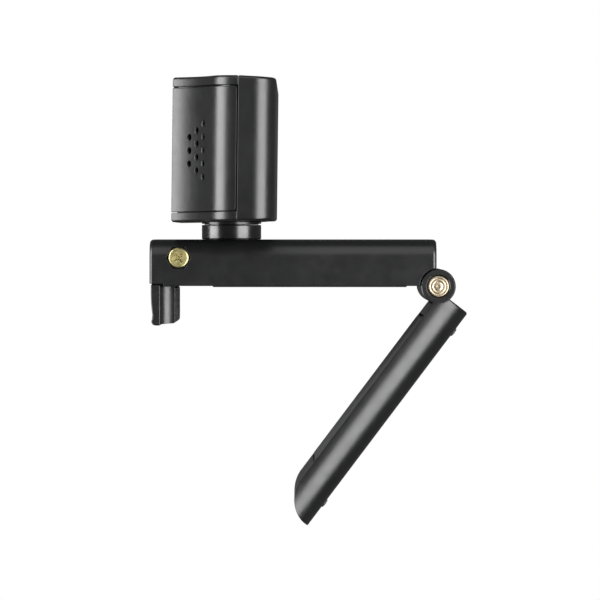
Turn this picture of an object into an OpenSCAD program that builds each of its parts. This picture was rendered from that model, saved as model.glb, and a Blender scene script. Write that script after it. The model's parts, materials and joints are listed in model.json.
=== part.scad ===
// Webcam on a folding screen clip.
//
// Millimetres, +Z up. The camera looks along -Y and +X is its left-hand end.
// The origin is the mouth of the tripod thread, in the middle of the underside of the arm.
//
// Four groups move: the arm is fixed, the head swivels on it about Z, and the hook in front
// and the leg behind fold about axes along X.

/* [Head] */
// Width of the camera head
head_w = 96; // [84:1:120]
// Height of the head at its front face
head_h = 32.9; // [32:0.1:38]
// Depth of the head, front face to rear face
head_d = 23.6; // [23.6:0.1:30]
// How far the head leans back in its swivel, in degrees
head_lean = 0.7; // [0:0.1:1.5]
// Wall thickness of the housing
head_wall = 1.6; // [1.4:0.1:2]
// Radius of the rounded ridge at each end
ridge_r = 7; // [6:0.1:7.4]
// Radius of the hollow sweep in front of each ridge
hollow_r = 30; // [24:1:36]
// Radius of the rear upright corners
corner_r = 5.2; // [4.6:0.1:9]
// Height of the rails above and below the front panel
rail_h = 2.1; // [1.8:0.1:3]
// Thickness of the front panel
panel_t = 1.2; // [1:0.1:1.3]
// Diameter of one microphone hole
mic_hole_d = 1.2; // [0.8:0.1:1.4]
// Pitch of the microphone holes
mic_pitch = 3; // [2.4:0.1:3.2]
// Diameter of the round lens window
window_d = 19; // [17:1:20]

/* [Neck] */
// Diameter of the neck
neck_d = 13.9; // [12:0.1:15]
// Height of the neck above the arm
neck_h = 3.4; // [3.2:0.1:6]
// Distance of the neck axis in front of the tripod thread
neck_front = 17.2; // [16.5:0.1:17.5]

/* [Arm] */
// Width of the arm, the hook and the leg
arm_w = 36; // [34:1:46]
// Height of the arm's top face
arm_t = 11; // [10.8:0.1:12]
// Radius of the arm's top side edges
arm_edge_r = 4.1; // [2:0.1:5]
// Distance from the tripod thread to the arm's front face
arm_front = 35.8; // [35.6:0.1:36]
// Distance from the tripod thread to the arm's rear face
arm_rear = 30.3; // [30:0.1:31]
// Thickness of the side walls
arm_wall = 2.9; // [2.6:0.1:3.2]

/* [Hook] */
// Depth of the hook below the arm
hook_drop = 9.1; // [7:0.1:12]
// Thickness of the hook's front plate
hook_plate_t = 2.2; // [2:0.1:2.6]
// Diameter of the hook's pin
hook_pin_d = 2.5; // [2:0.1:2.8]

/* [Leg] */
// Length of the leg from its hinge axis
leg_l = 62.4; // [58:0.1:70]
// Thickness of the leg
leg_t = 8; // [7.9:0.1:9]
// Angle between the leg and upright
leg_angle = 37; // [20:1:45]
// Radius of the leg's outer side edges
leg_edge_r = 7.8; // [5:0.1:7.8]
// Diameter of the hinge knuckles
knuckle_d = 8; // [7.6:0.1:8.2]
// Diameter of the hinge pin
hinge_pin_d = 5; // [4:0.1:5.2]

/* [Tripod thread] */
// Nominal diameter of the thread in the underside
tripod_d = 6.35; // [6.35:0.01:9.53]

/* [Hidden] */
$fn = 64;

// Running clearance of a pin in its hole, and the gap between faces that pass each other
fit = 0.05;
gap = 0.3;

// Arm
arm_base = 0.3;                       // lower edge of the side walls
arm_inner = arm_w / 2 - arm_wall;     // half the width between the side walls
arm_roof = 1.5;                       // thickness of the top wall
roof_z = arm_t - arm_roof;
pocket_roof_z = 9.5;                  // roof of the hook's pocket, thinner for the pin
pocket_rear = -22.8;                  // rear wall of the hook's pocket
rib_t = 1;
rear_block = 24;                      // where the solid rear end starts
cover_z0 = 0.6;
cover_z1 = 2;
cover_screw_x = 10.5;
cover_screw_y = [-8.5, 20];
insert_r = 4.6;
spigot_r = 4.6;                       // the neck's foot, pressed into the roof
insert_h = 8;
thread_depth = 6.5;

// Hinges
hook_y = -29.1;
hook_z = 6.8;
grip_rear = -30.2;                    // rear face of the hook's grip
hinge_y = 30.7;
hinge_z = 0.2;
knuckle_r = knuckle_d / 2;
knuckle_w = 5.7;                      // width of each outer knuckle, on the leg
knuckle_x = arm_w / 2 - knuckle_w;    // inner face of the leg's knuckles
washer_t = 0.45;

// Head
neck_y = -neck_front;
neck_r = neck_d / 2;
neck_top = arm_t + neck_h;
head_base = 14.75;                    // underside at the front face
head_top = head_base + head_h;
base_rise = 0.75;                     // the underside rises this much towards the rear
top_fall = 0.35;                      // the top falls this much behind the seam
head_front = -30.4;
head_rear = head_front + head_d;
seam_y = -15.25;                      // joint between the front and the rear housing
seam_gap = 0.1;
ridge_y = -14.9;
ridge_x = head_w / 2 - ridge_r;
ridge_turn = 72;                      // where the hollow meets the ridge
corner_y = head_rear - corner_r;
hollow_x = ridge_x + (hollow_r + ridge_r) * cos(ridge_turn);
hollow_y = ridge_y - (hollow_r + ridge_r) * sin(ridge_turn);
panel_seat = panel_t + 0.15;          // depth of the recess that holds the panel
frame_depth = panel_seat + 1.5;       // inner face of the front frame's walls
groove = 0.3;
lens_z = 31;
mic_turn = 58;                        // angle of the middle column of microphone holes
mic_column = 3.1;                     // distance between the columns
board_y = -16;
board_t = 1.2;
board_half = [31, 11.6];
board_hole = [28, 9.5];
case_screw = [35, 11.6];              // from the middle of the head
inlet_z = 21.4;
inlet_r = 2.1;
led_x = 21;

// Swivel stack, from the top down
collar_r = 10.2;
collar_z0 = neck_top + 0.25;
collar_z1 = 15.35;
collar_rim = 0.35;                    // height of the collar's straight rim
shaft_r = 3;
shaft_end = roof_z - 0.35;

// ---------------------------------------------------------------- helpers

// Extrude an outline drawn in (Y, Z) along X
module along_x(x0, x1) {
    translate([x0, 0, 0])
        rotate([90, 0, 90])
            linear_extrude(x1 - x0) children();
}

// Extrude an outline drawn in (X, Z) along Y
module along_y(y0, y1) {
    translate([0, y1, 0])
        rotate([90, 0, 0])
            linear_extrude(y1 - y0) children();
}

// A rod along X, Y or Z between two points of that axis
module rod_x(x0, x1, y, z, r) {
    translate([x0, y, z])
        rotate([0, 90, 0])
            cylinder(r = r, h = x1 - x0);
}

module rod_y(y0, y1, x, z, r) {
    translate([x, y0, z])
        rotate([-90, 0, 0])
            cylinder(r = r, h = y1 - y0);
}

module rod_z(z0, z1, x, y, r) {
    translate([x, y, z0])
        cylinder(r = r, h = z1 - z0);
}

// A block between two corners
module block(lo, hi) {
    translate(lo)
        cube(hi - lo);
}

// A rectangle between two corners
module rect(lo, hi) {
    translate(lo)
        square(hi - lo);
}

// A pan-head screw along +Z, its head's underside at the origin and its shank pointing up
module screw(head_r, head_h, shank_r, shank_l) {
    difference() {
        union() {
            translate([0, 0, -head_h])
                cylinder(r = head_r, h = head_h);
            cylinder(r = shank_r, h = shank_l);
        }
        for (turn = [0, 90])
            rotate([0, 0, turn])
                translate([-head_r * 0.6, -0.22, -head_h - 1])
                    cube([head_r * 1.2, 0.44, 1 + head_h * 0.55]);
    }
}

// The head's parts lean back a little about the neck
module lean() {
    translate([0, neck_y, head_base])
        rotate([-head_lean, 0, 0])
            translate([0, -neck_y, -head_base])
                children();
}

// ---------------------------------------------------------------- head outline

// Points along an arc about c, from angle a0 to angle a1
function arc(c, r, a0, a1, steps) =
    [for (i = [0 : steps]) c + r * [cos(a0 + (a1 - a0) * i / steps), sin(a0 + (a1 - a0) * i / steps)]];

// One end of the head from above, moved inwards by d: hollow, ridge, side and rear corner
function head_end(d) =
    let (start = asin((head_front + d - hollow_y) / (hollow_r + d)))
    concat(
        arc([hollow_x, hollow_y], hollow_r + d, 180 - start, 180 - ridge_turn, 14),
        arc([ridge_x, ridge_y], ridge_r - d, 1 - ridge_turn, 0, 12),
        arc([head_w / 2 - corner_r, corner_y], corner_r - d, 0, 90, 14)
    );

// Outline of the head from above, moved inwards by d
module head_plan(d = 0) {
    right = head_end(d);
    last = len(right) - 1;
    polygon(concat(right, [for (i = [0 : last]) [-right[last - i].x, right[last - i].y]]));
}

// Side outline of the head between its sloping underside and its top, moved inwards by dz
module head_side(dz = 0) {
    polygon([
        [head_front - 1, head_base + dz - base_rise / head_d],
        [head_rear + 1, head_base + dz + base_rise * (1 + 1 / head_d)],
        [head_rear + 1, head_top - dz - top_fall * (1 + 1 / (head_rear - seam_y))],
        [seam_y, head_top - dz],
        [head_front - 1, head_top - dz]
    ]);
}

// The head as a solid, its walls moved inwards by d and its top and underside by dz
module head_solid(d = 0, dz = 0) {
    intersection() {
        translate([0, 0, head_base - 1])
            linear_extrude(head_h + 2) head_plan(d);
        along_x(-head_w, head_w) head_side(dz);
    }
}

// Everything in front of the seam, or behind it
module before_seam(y = seam_y - seam_gap) {
    block([-head_w, head_front - 5, 0], [head_w, y, 80]);
}

module behind_seam() {
    block([-head_w, seam_y + seam_gap, 0], [head_w, head_rear + 5, 80]);
}

// Recess in the underside for the swivel collar, and the hole for its spigot
module collar_seat() {
    rod_z(head_base - 2, collar_z1 + 0.2, 0, neck_y, collar_r + 0.15);
    rod_z(head_base - 2, 22, 0, neck_y, 4.2);
}

// Four places, mirrored about the middle of the head
module four(x, dz) {
    for (side = [-1, 1])
        for (up = [-1, 1])
            translate([side * x, 0, lens_z + up * dz])
                children();
}

// Places children at one end's hollow surface: +Z of the children points out through the wall
module at_hollow(side, turn, r, z) {
    translate([side * hollow_x, hollow_y, z])
        rotate([0, 0, side > 0 ? 180 - turn : turn])
            translate([r, 0, 0])
                rotate([0, -90, 0])
                    children();
}

// ---------------------------------------------------------------- arm

// Cross-section of the arm in (X, Z), its top side edges rounded
module arm_section(base) {
    shoulder = arm_t - arm_edge_r;
    rect([-arm_w / 2, base], [arm_w / 2, shoulder]);
    rect([arm_edge_r - arm_w / 2, base], [arm_w / 2 - arm_edge_r, arm_t]);
    for (side = [-1, 1])
        translate([side * (arm_w / 2 - arm_edge_r), shoulder])
            circle(arm_edge_r);
}

// Outline of the arm from above, its upright corners slightly rounded
module arm_plan() {
    r = 1.1;
    rect([-arm_w / 2, r - arm_front], [arm_w / 2, arm_rear - r]);
    rect([r - arm_w / 2, -arm_front], [arm_w / 2 - r, arm_rear]);
    for (side = [-1, 1])
        for (y = [r - arm_front, arm_rear - r])
            translate([side * (arm_w / 2 - r), y])
                circle(r);
}

// The hook's pocket in (Y, Z): open in front below the nose, and open underneath
module pocket_side() {
    rect([-arm_front - 1, -1], [-33.9, 7.65]);
    rect([-34, -1], [pocket_rear, pocket_roof_z]);
}

module arm_shell() {
    color("#222325")
    difference() {
        union() {
            intersection() {
                along_y(-arm_front, arm_rear) arm_section(arm_base);
                linear_extrude(arm_t + 1) arm_plan();
            }
            rod_x(-knuckle_x, knuckle_x, hinge_y, hinge_z, knuckle_r);
        }
        // hook's pocket, and the notch above its wide plate
        along_x(-arm_inner, arm_inner) pocket_side();
        block([-arm_w, -arm_front - 1, -1], [arm_w, -32.6, 0.85]);
        // hollow behind the pocket, with the neck's hole through its roof
        difference() {
            block([-arm_inner, pocket_rear + rib_t, -1], [arm_inner, rear_block, roof_z]);
            for (side = [-1, 1])
                for (y = cover_screw_y)
                    rod_z(cover_z1 + 0.05, roof_z + 0.5, side * cover_screw_x, y, 2.6);
            rod_z(cover_z1 + 0.05, roof_z + 0.5, 0, 0, insert_r + 2);
        }
        for (side = [-1, 1])
            for (y = cover_screw_y)
                rod_z(0, 7.5, side * cover_screw_x, y, 0.95);
        rod_z(0, insert_h + 0.1, 0, 0, insert_r + fit);
        rod_z(roof_z - 1, arm_t + 1, 0, neck_y, spigot_r + fit);
        // hook pin, with a six-sided pocket at each end
        rod_x(-arm_w, arm_w, hook_y, hook_z, hook_pin_d / 2 + fit);
        for (side = [-1, 1])
            translate([side * (arm_w / 2 + 0.2), hook_y, hook_z])
                rotate([0, 90, 0])
                    rotate([0, 0, 90])
                        cylinder(r = 5 / 2 / cos(30), h = 3.2, center = true, $fn = 6);
        // knuckles of the leg, and the hinge pin
        for (side = [-1, 1])
            translate([side * (knuckle_x - washer_t - 0.05 + arm_w), hinge_y, hinge_z])
                rotate([0, 90, 0])
                    cylinder(r = knuckle_r + gap, h = 2 * arm_w, center = true);
        rod_x(-arm_w, arm_w, hinge_y, hinge_z, hinge_pin_d / 2 + 0.03);
    }
}

module arm_cover() {
    color("#2a2b2d")
    difference() {
        block(
            [0.2 - arm_inner, pocket_rear + rib_t + 0.2, cover_z0],
            [arm_inner - 0.2, rear_block - 0.2, cover_z1]
        );
        rod_z(0, 5, 0, 0, insert_r + 0.15);
        for (side = [-1, 1])
            for (y = cover_screw_y) {
                rod_z(0, 5, side * cover_screw_x, y, 1.05);
                rod_z(0, 1.4, side * cover_screw_x, y, 2);
            }
    }
}

module arm_pad() {
    color("#1a1a1b")
    difference() {
        block(
            [0.6 - arm_inner, pocket_rear + rib_t + 0.5, 0],
            [arm_inner - 0.6, rear_block - 0.5, cover_z0 - 0.05]
        );
        rod_z(-1, 2, 0, 0, insert_r + 0.4);
    }
}

module cover_screws() {
    color("#9a9ba0")
    for (side = [-1, 1])
        for (y = cover_screw_y)
            translate([side * cover_screw_x, y, 1.38])
                screw(1.8, 0.75, 0.9, 5.2);
}

module tripod_insert() {
    color("#b58f4a")
    difference() {
        rod_z(0, insert_h, 0, 0, insert_r);
        rod_z(-1, thread_depth, 0, 0, tripod_d / 2);
        // grooves that lock the insert in the moulding
        for (z = [3.2, 5.4])
            translate([0, 0, z])
                difference() {
                    cylinder(r = insert_r + 1, h = 0.7);
                    translate([0, 0, -0.1])
                        cylinder(r = insert_r - 0.4, h = 0.9);
                }
    }
}

module swivel_neck() {
    color("#131314")
    difference() {
        union() {
            rod_z(arm_t + 0.02, neck_top, 0, neck_y, neck_r);
            rod_z(roof_z, arm_t + 0.5, 0, neck_y, spigot_r);
        }
        rod_z(0, 20, 0, neck_y, shaft_r + fit);
    }
}

module hook_pin() {
    color("#b9ad62")
    difference() {
        union() {
            rod_x(0.4 - arm_w / 2, arm_w / 2 - 1.3, hook_y, hook_z, hook_pin_d / 2);
            rod_x(arm_w / 2 - 1.35, arm_w / 2 - 0.1, hook_y, hook_z, 2.33);
        }
        // crossed recess
        for (turn = [0, 90])
            translate([arm_w / 2, hook_y, hook_z])
                rotate([turn + 35, 0, 0])
                    cube([0.9, 2.6, 0.5], center = true);
    }
}

module hook_nut() {
    color("#b9ad62")
    translate([-arm_w / 2 + 0.8, hook_y, hook_z])
        rotate([0, 90, 0])
            rotate([0, 0, 90])
                difference() {
                    cylinder(r = 4.85 / 2 / cos(30), h = 1.2, center = true, $fn = 6);
                    cylinder(r = hook_pin_d / 2 + 0.02, h = 3, center = true);
                }
}

module hinge_pin() {
    color("#b9a98c")
    difference() {
        rod_x(0.3 - arm_w / 2, arm_w / 2 - 0.3, hinge_y, hinge_z, hinge_pin_d / 2);
        // turning centre at each end
        for (side = [-1, 1])
            translate([side * (arm_w / 2 - 0.3), hinge_y, hinge_z])
                rotate([0, 90, 0])
                    cylinder(r = 0.35, h = 0.8, center = true);
    }
}

module hinge_washers() {
    color("#8d8f94")
    for (side = [-1, 1])
        translate([side * (knuckle_x - washer_t / 2), hinge_y, hinge_z])
            rotate([0, 90, 0])
                difference() {
                    cylinder(r = knuckle_r - 0.2, h = washer_t - 0.1, center = true);
                    cylinder(r = hinge_pin_d / 2 + 0.02, h = 3, center = true);
                }
}

// ---------------------------------------------------------------- head housing

// Space that the front panel fills, between the two rails
module panel_space(depth, margin) {
    difference() {
        intersection() {
            head_solid(0, 0);
            along_x(-head_w, head_w) head_side(rail_h + margin);
            before_seam(seam_y - seam_gap - margin);
        }
        head_solid(depth, -5);
    }
}

module front_frame() {
    color("#222325")
    lean()
    difference() {
        intersection() {
            union() {
                difference() {
                    head_solid(0, 0);
                    head_solid(frame_depth, head_wall);
                }
                intersection() {
                    head_solid(panel_seat, head_wall / 2);
                    union() {
                        four(case_screw.x, case_screw.y) rod_y(-40, 0, 0, 0, 2.7);
                        four(board_hole.x, board_hole.y)
                            rod_y(-29, board_y - 0.05, 0, 0, 2.4);
                        // the case bosses stand on webs, and stop at the seam
                        four(case_screw.x, case_screw.y)
                            block([-0.8, -40, -2.6], [0.8, -17, 2.6]);
                    }
                }
            }
            before_seam();
        }
        panel_space(panel_seat, 0);
        rod_y(-40, -25, 0, lens_z, 11);
        rod_y(-40, -25, led_x, lens_z, 1.3);
        for (side = [-1, 1])
            at_hollow(side, mic_turn, hollow_r, lens_z)
                cube([14.5, 8.4, 12], center = true);
        four(case_screw.x, case_screw.y) rod_y(-22, 0, 0, 0, 0.95);
        four(board_hole.x, board_hole.y) rod_y(-23, 0, 0, 0, 0.8);
        collar_seat();
    }
}

// Microphone holes of one end: three staggered columns, longer towards the ridge
module mic_holes(side) {
    column = mic_column / hollow_r * 180 / PI;
    for (c = [-1 : 1])
        for (k = [0 : c + 3])
            at_hollow(side, mic_turn + c * column, hollow_r, lens_z + (k - (c + 3) / 2) * mic_pitch)
                cylinder(d = mic_hole_d, h = 6, center = true, $fn = 24);
}

module front_panel() {
    color("#232426")
    lean()
    difference() {
        panel_space(panel_t, groove);
        rod_y(-40, -25, 0, lens_z, window_d / 2 + 3);
        rod_y(-40, -25, led_x, lens_z, 1.1);
        mic_holes(-1);
        mic_holes(1);
    }
}

module rear_shell() {
    color("#222325")
    lean()
    difference() {
        union() {
            intersection() {
                difference() {
                    head_solid(0, 0);
                    head_solid(head_wall, head_wall);
                }
                behind_seam();
            }
            intersection() {
                head_solid(head_wall / 2, head_wall / 2);
                four(case_screw.x, case_screw.y)
                    rod_y(seam_y + seam_gap, head_rear, 0, 0, 3);
            }
        }
        four(case_screw.x, case_screw.y) {
            rod_y(seam_y - 1, 0, 0, 0, 1.2);
            rod_y(head_rear - 2.2, 0, 0, 0, 2.15);
        }
        rod_y(-12, 0, 0, inlet_z, 3.6);
        collar_seat();
    }
}

module case_screws() {
    color("#55565a")
    lean()
    four(case_screw.x, case_screw.y)
        translate([0, head_rear - 2.18, 0])
            rotate([90, 0, 0])
                screw(1.9, 1.2, 0.9, 10.5);
}

module cable_grommet() {
    color("#151516")
    lean()
    translate([0, 0, inlet_z])
        rotate([90, 0, 0])
            rotate_extrude()
                polygon([
                    [inlet_r, -head_rear + 0.15], [3.5, -head_rear + 0.15],
                    [3.5, -head_rear + head_wall + 0.1], [4.4, -head_rear + head_wall + 0.1],
                    [4.4, -head_rear + head_wall + 1.3], [inlet_r, -head_rear + head_wall + 1.3]
                ]);
}

// ---------------------------------------------------------------- camera

// A ring about the lens axis: its section is drawn as (radius, distance behind the front face)
module about_lens() {
    lean()
        translate([0, head_front, lens_z])
            rotate([-90, 0, 0])
                rotate_extrude() children();
}

module lens_bezel() {
    rim = window_d / 2;
    color("#0e0e0f")
    about_lens()
        polygon([
            [rim + 2.9, 0.05], [rim + 2.9, panel_t], [rim - 0.6, panel_t + 0.1],
            [rim - 0.6, panel_t - 0.1], [rim + 0.1, panel_t - 0.1], [rim + 0.1, 0.35],
            [rim + 0.5, 0.05]
        ]);
}

module lens_window() {
    color("#101418", 0.6)
    about_lens()
        rect([0, 0.3], [window_d / 2, panel_t - 0.15]);
}

module lens_barrel() {
    color("#1a1a1c")
    about_lens()
        polygon([
            [4.6, 3.4], [7.2, 3.4], [7.2, 6], [5.95, 6.6], [5.95, 12.6], [3.2, 12.6], [3.2, 8], [4.6, 6.4]
        ]);
}

module lens_glass() {
    color("#27363f", 0.7)
    about_lens()
        intersection() {
            rect([0, 3.9], [4.5, 6.2]);
            translate([0, 12])
                circle(8);
        }
}

module lens_holder() {
    color("#18181a")
    lean()
    difference() {
        union() {
            rod_y(head_front + 7.6, board_y - 0.05, 0, lens_z, 7.4);
            block([-8.5, board_y - 3, lens_z - 8.5], [8.5, board_y - 0.05, lens_z + 8.5]);
        }
        rod_y(-40, 0, 0, lens_z, 6);
    }
}

module ir_filter() {
    color("#a85a6a", 0.5)
    lean()
    rod_y(board_y - 1.6, board_y - 1.2, 0, lens_z, 5.8);
}

module image_sensor() {
    color("#2b3a34")
    lean()
    block([-3.8, board_y - 1, lens_z - 3.8], [3.8, board_y - 0.05, lens_z + 3.8]);
}

module main_board() {
    color("#1d5b3a")
    lean()
    difference() {
        block(
            [-board_half.x, board_y, lens_z - board_half.y],
            [board_half.x, board_y + board_t, lens_z + board_half.y]
        );
        four(board_hole.x, board_hole.y) rod_y(-20, 0, 0, 0, 1.05);
    }
}

module board_screws() {
    color("#9a9ba0")
    lean()
    four(board_hole.x, board_hole.y)
        translate([0, board_y + board_t + 0.02, 0])
            rotate([90, 0, 0])
                screw(1.7, 0.9, 0.75, 6);
}

module shield_can() {
    y = board_y + board_t + 0.02;
    color("#b4b6ba")
    lean()
    difference() {
        block([8, y, lens_z - 6], [25, y + 2.2, lens_z + 9]);
        block([8.3, y - 1, lens_z - 5.7], [24.7, y + 1.9, lens_z + 8.7]);
    }
}

module cable_socket() {
    y = board_y + board_t + 0.02;
    color("#e6e2d4")
    lean()
    difference() {
        block([-21, y, lens_z - 9], [-10, y + 4.8, lens_z - 4]);
        block([-20.3, y + 0.8, lens_z - 8.3], [-10.7, y + 6, lens_z - 4.7]);
    }
}

module status_led() {
    color("#e9f3ff")
    lean()
    block([led_x - 0.8, board_y - 0.9, lens_z - 0.8], [led_x + 0.8, board_y - 0.05, lens_z + 0.8]);
}

module light_pipe() {
    color("#dfe6ea", 0.7)
    lean()
    union() {
        rod_y(head_front + 0.1, board_y - 1.2, led_x, lens_z, 1);
        rod_y(head_front + frame_depth + 0.15, head_front + frame_depth + 1, led_x, lens_z, 1.7);
    }
}

module mic_gaskets() {
    color("#303032")
    lean()
    for (side = [-1, 1])
        at_hollow(side, mic_turn, hollow_r + frame_depth + 0.9, lens_z)
            difference() {
                cube([15.2, 9.6, 1.4], center = true);
                cylinder(r = 2, h = 4, center = true);
            }
}

module mic_boards() {
    color("#1d5b3a")
    lean()
    for (side = [-1, 1])
        at_hollow(side, mic_turn, hollow_r + frame_depth + 2.1, lens_z)
            difference() {
                cube([15, 8, 0.8], center = true);
                cylinder(r = 0.6, h = 4, center = true);
            }
}

module mic_capsules() {
    color("#c9b98a")
    lean()
    for (side = [-1, 1])
        at_hollow(side, mic_turn, hollow_r + frame_depth + 3.1, lens_z)
            cube([4, 3, 1.1], center = true);
}

// ---------------------------------------------------------------- swivel

// Collar under the head: a rim above the neck, a shallow cone, the shaft below it and a spigot
// into the head
module swivel_collar() {
    color("#1b1c1d")
    difference() {
        union() {
            translate([0, neck_y, collar_z0 + collar_rim])
                cylinder(r1 = neck_r, r2 = collar_r, h = collar_z1 - collar_z0 - collar_rim);
            rod_z(collar_z0, collar_z0 + collar_rim + 0.02, 0, neck_y, neck_r);
            rod_z(neck_top + fit, collar_z0 + 0.1, 0, neck_y, neck_r - 0.6);
            rod_z(shaft_end, collar_z0 + 0.1, 0, neck_y, shaft_r);
            rod_z(collar_z1 - 0.1, 18.35, 0, neck_y, 3.9);
        }
        rod_z(0, 16.5, 0, neck_y, 1.25);
    }
}

// Steel plate inside the head that clamps the collar's spigot
module swivel_plate() {
    color("#a7a9ad")
    difference() {
        block([-9, neck_y - 6, 17.05], [9, neck_y + 6, 18.15]);
        rod_z(10, 20, 0, neck_y, 3.95);
        for (side = [-1, 1])
            rod_z(10, 20, side * 6.8, neck_y, 1.1);
    }
}

module plate_screws() {
    color("#9a9ba0")
    for (side = [-1, 1])
        translate([side * 6.8, neck_y, 18.2])
            rotate([180, 0, 0])
                screw(1.8, 0.9, 0.9, 1.1);
}

module swivel_washer() {
    color("#a7a9ad")
    difference() {
        rod_z(shaft_end - 0.85, shaft_end - 0.05, 0, neck_y, 4.2);
        rod_z(0, 20, 0, neck_y, 1.4);
    }
}

module swivel_spring() {
    color("#7d7f83")
    translate([0, neck_y, shaft_end - 1.75])
        rotate_extrude()
            polygon([[1.5, 0.35], [4, 0], [4, 0.45], [1.5, 0.8]]);
}

module swivel_screw() {
    color("#9a9ba0")
    translate([0, neck_y, shaft_end - 1.8])
        screw(2.7, 1.8, 1.2, 8);
}

// ---------------------------------------------------------------- hook

// Side outline of the hook's front plate in (Y, Z): a rounded foot and a slightly bowed front
module hook_plate_side(top) {
    front = 0.3 - arm_front;
    back = front + hook_plate_t;
    foot_r = 1;
    intersection() {
        union() {
            rect([front, foot_r - hook_drop], [back, top]);
            rect([front + foot_r, -hook_drop], [back - foot_r * 0.3, 0]);
            translate([front + foot_r, foot_r - hook_drop])
                circle(foot_r);
            translate([back - foot_r * 0.3, 0.3 * foot_r - hook_drop])
                circle(0.3 * foot_r);
            rect([back - 1, 0.3 * foot_r - hook_drop], [back, 0]);
        }
        translate([front + 40, -1])
            circle(40, $fn = 128);
    }
}

// The grip behind the plate: its ends sweep out to meet the plate
module hook_grip() {
    back = 0.3 - arm_front + hook_plate_t;
    sweep = arm_wall;
    rear = grip_rear;
    intersection() {
        translate([0, 0, -20])
            linear_extrude(20.2)
                difference() {
                    union() {
                        rect([-arm_w / 2, back - 1], [arm_w / 2, back + sweep]);
                        rect([0.2 - arm_inner, back], [arm_inner - 0.2, rear]);
                    }
                    for (side = [-1, 1])
                        translate([side * (arm_w / 2 + 0.2), back + sweep])
                            circle(sweep + 0.45);
                }
        along_x(-arm_w, arm_w)
            union() {
                polygon([
                    [back - 1, 0.25 - hook_drop], [back, 0.25 - hook_drop],
                    [rear - 0.9, 1 - hook_drop], [rear, 1.9 - hook_drop],
                    [rear, 0.2], [back - 1, 0.2]
                ]);
                translate([rear - 0.9, 1.9 - hook_drop])
                    circle(0.9);
            }
    }
}

module hook_body() {
    back = 0.3 - arm_front + hook_plate_t;
    inner = arm_inner - gap;
    color("#232426")
    difference() {
        union() {
            along_x(-arm_w / 2, arm_w / 2) hook_plate_side(0.5);
            along_x(-inner, inner) hook_plate_side(7.35);
            hook_grip();
            along_x(-inner, inner)
                union() {
                    rect([back - 1, 0.1], [hook_y + 0.1, 4.5]);
                    rect([back - 0.3, 4], [hook_y, 8]);
                    translate([hook_y, hook_z])
                        circle(2.4);
                }
        }
        rod_x(-arm_w, arm_w, hook_y, hook_z, hook_pin_d / 2 + fit);
    }
}

module hook_pad() {
    color("#1a1a1b")
    block(
        [0.9 - arm_inner, grip_rear + 0.02, 2.2 - hook_drop],
        [arm_inner - 0.9, grip_rear + 0.5, -0.6]
    );
}

// ---------------------------------------------------------------- leg

// The leg is drawn hanging straight down from its hinge, its outer face at +Y
module in_leg() {
    translate([0, hinge_y, hinge_z])
        rotate([-leg_angle, 0, 0])
            children();
}

leg_in = 1.4;                          // inner edge of the side walls, from the hinge axis
leg_out = 1.4 + leg_t;                 // outer face, from the hinge axis
leg_start = -0.8;                      // upper end face
leg_wall = 2;
nose_r = leg_t - 0.1;                  // radius of the rounded tip
nose_z = nose_r - leg_l;
leg_cover_z = [-49.5, -7.5];
leg_screw_z = [-12, -44];
leg_screw_x = 8.5;

// Cross-section of the leg from above, its outer side edges rounded
module leg_section() {
    half = arm_w / 2;
    shoulder = leg_out - leg_edge_r;
    rect([-half, leg_in], [half, shoulder]);
    rect([leg_edge_r - half, leg_in], [half - leg_edge_r, leg_out]);
    intersection() {
        for (side = [-1, 1])
            translate([side * (half - leg_edge_r), shoulder])
                circle(leg_edge_r);
        rect([-half, leg_in], [half, leg_out]);
    }
}

// Side outline of the leg: square above, a quarter-round nose below
module leg_side() {
    rect([0, nose_z], [leg_out + 1, leg_start]);
    intersection() {
        translate([leg_out, nose_z])
            circle(nose_r);
        rect([0, nose_z - nose_r], [leg_out + 1, nose_z]);
    }
}

module leg_shell() {
    color("#222325")
    in_leg()
    difference() {
        union() {
            intersection() {
                translate([0, 0, -leg_l - 1])
                    linear_extrude(leg_l + 1) leg_section();
                along_x(-arm_w, arm_w) leg_side();
            }
            for (side = [-1, 1])
                translate([side * (arm_w - knuckle_w) / 2, 0, 0]) {
                    rotate([0, 90, 0])
                        cylinder(r = knuckle_r, h = knuckle_w, center = true);
                    translate([0, 2.6, -3])
                        cube([knuckle_w - 0.8, 2.4, 5.4], center = true);
                }
        }
        // hollow, closed by the cover
        intersection() {
            translate([0, 0, nose_z + 2])
                linear_extrude(-nose_z - 9.5) leg_hollow();
            block([-arm_w, -1, leg_cover_z[0] - 0.2], [arm_w, 20, leg_cover_z[1] + 0.2]);
        }
        for (side = [-1, 1])
            for (z = leg_screw_z)
                rod_y(0, 7.6, side * leg_screw_x, z, 0.95);
        // room for the arm's middle knuckle, and the pin's holes
        rotate([0, 90, 0])
            cylinder(r = knuckle_r + gap, h = 2 * knuckle_x, center = true);
        rotate([0, 90, 0])
            cylinder(r = hinge_pin_d / 2 + 0.08, h = 2 * arm_w, center = true);
    }
}

// Outline of the leg's hollow from above, with the four screw bosses left standing
module leg_hollow() {
    half = arm_w / 2 - leg_wall;
    r = leg_edge_r - leg_wall;
    shoulder = leg_out - leg_edge_r;
    rect([-half, 0], [half, shoulder]);
    rect([leg_edge_r - arm_w / 2, 0], [arm_w / 2 - leg_edge_r, leg_out - leg_wall]);
    for (side = [-1, 1])
        translate([side * (arm_w / 2 - leg_edge_r), shoulder])
            circle(r);
}

module leg_cover() {
    half = arm_w / 2 - leg_wall - 0.45;
    color("#2a2b2d")
    in_leg()
    difference() {
        union() {
            block([-half, 2, leg_cover_z[0]], [half, 3.3, leg_cover_z[1]]);
            for (side = [-1, 1])
                for (z = leg_screw_z)
                    rod_y(3.2, leg_out - leg_wall - 0.1, side * leg_screw_x, z, 2.4);
        }
        for (side = [-1, 1])
            for (z = leg_screw_z) {
                rod_y(0, 8, side * leg_screw_x, z, 1.05);
                rod_y(0, 2.7, side * leg_screw_x, z, 2);
            }
    }
}

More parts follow.
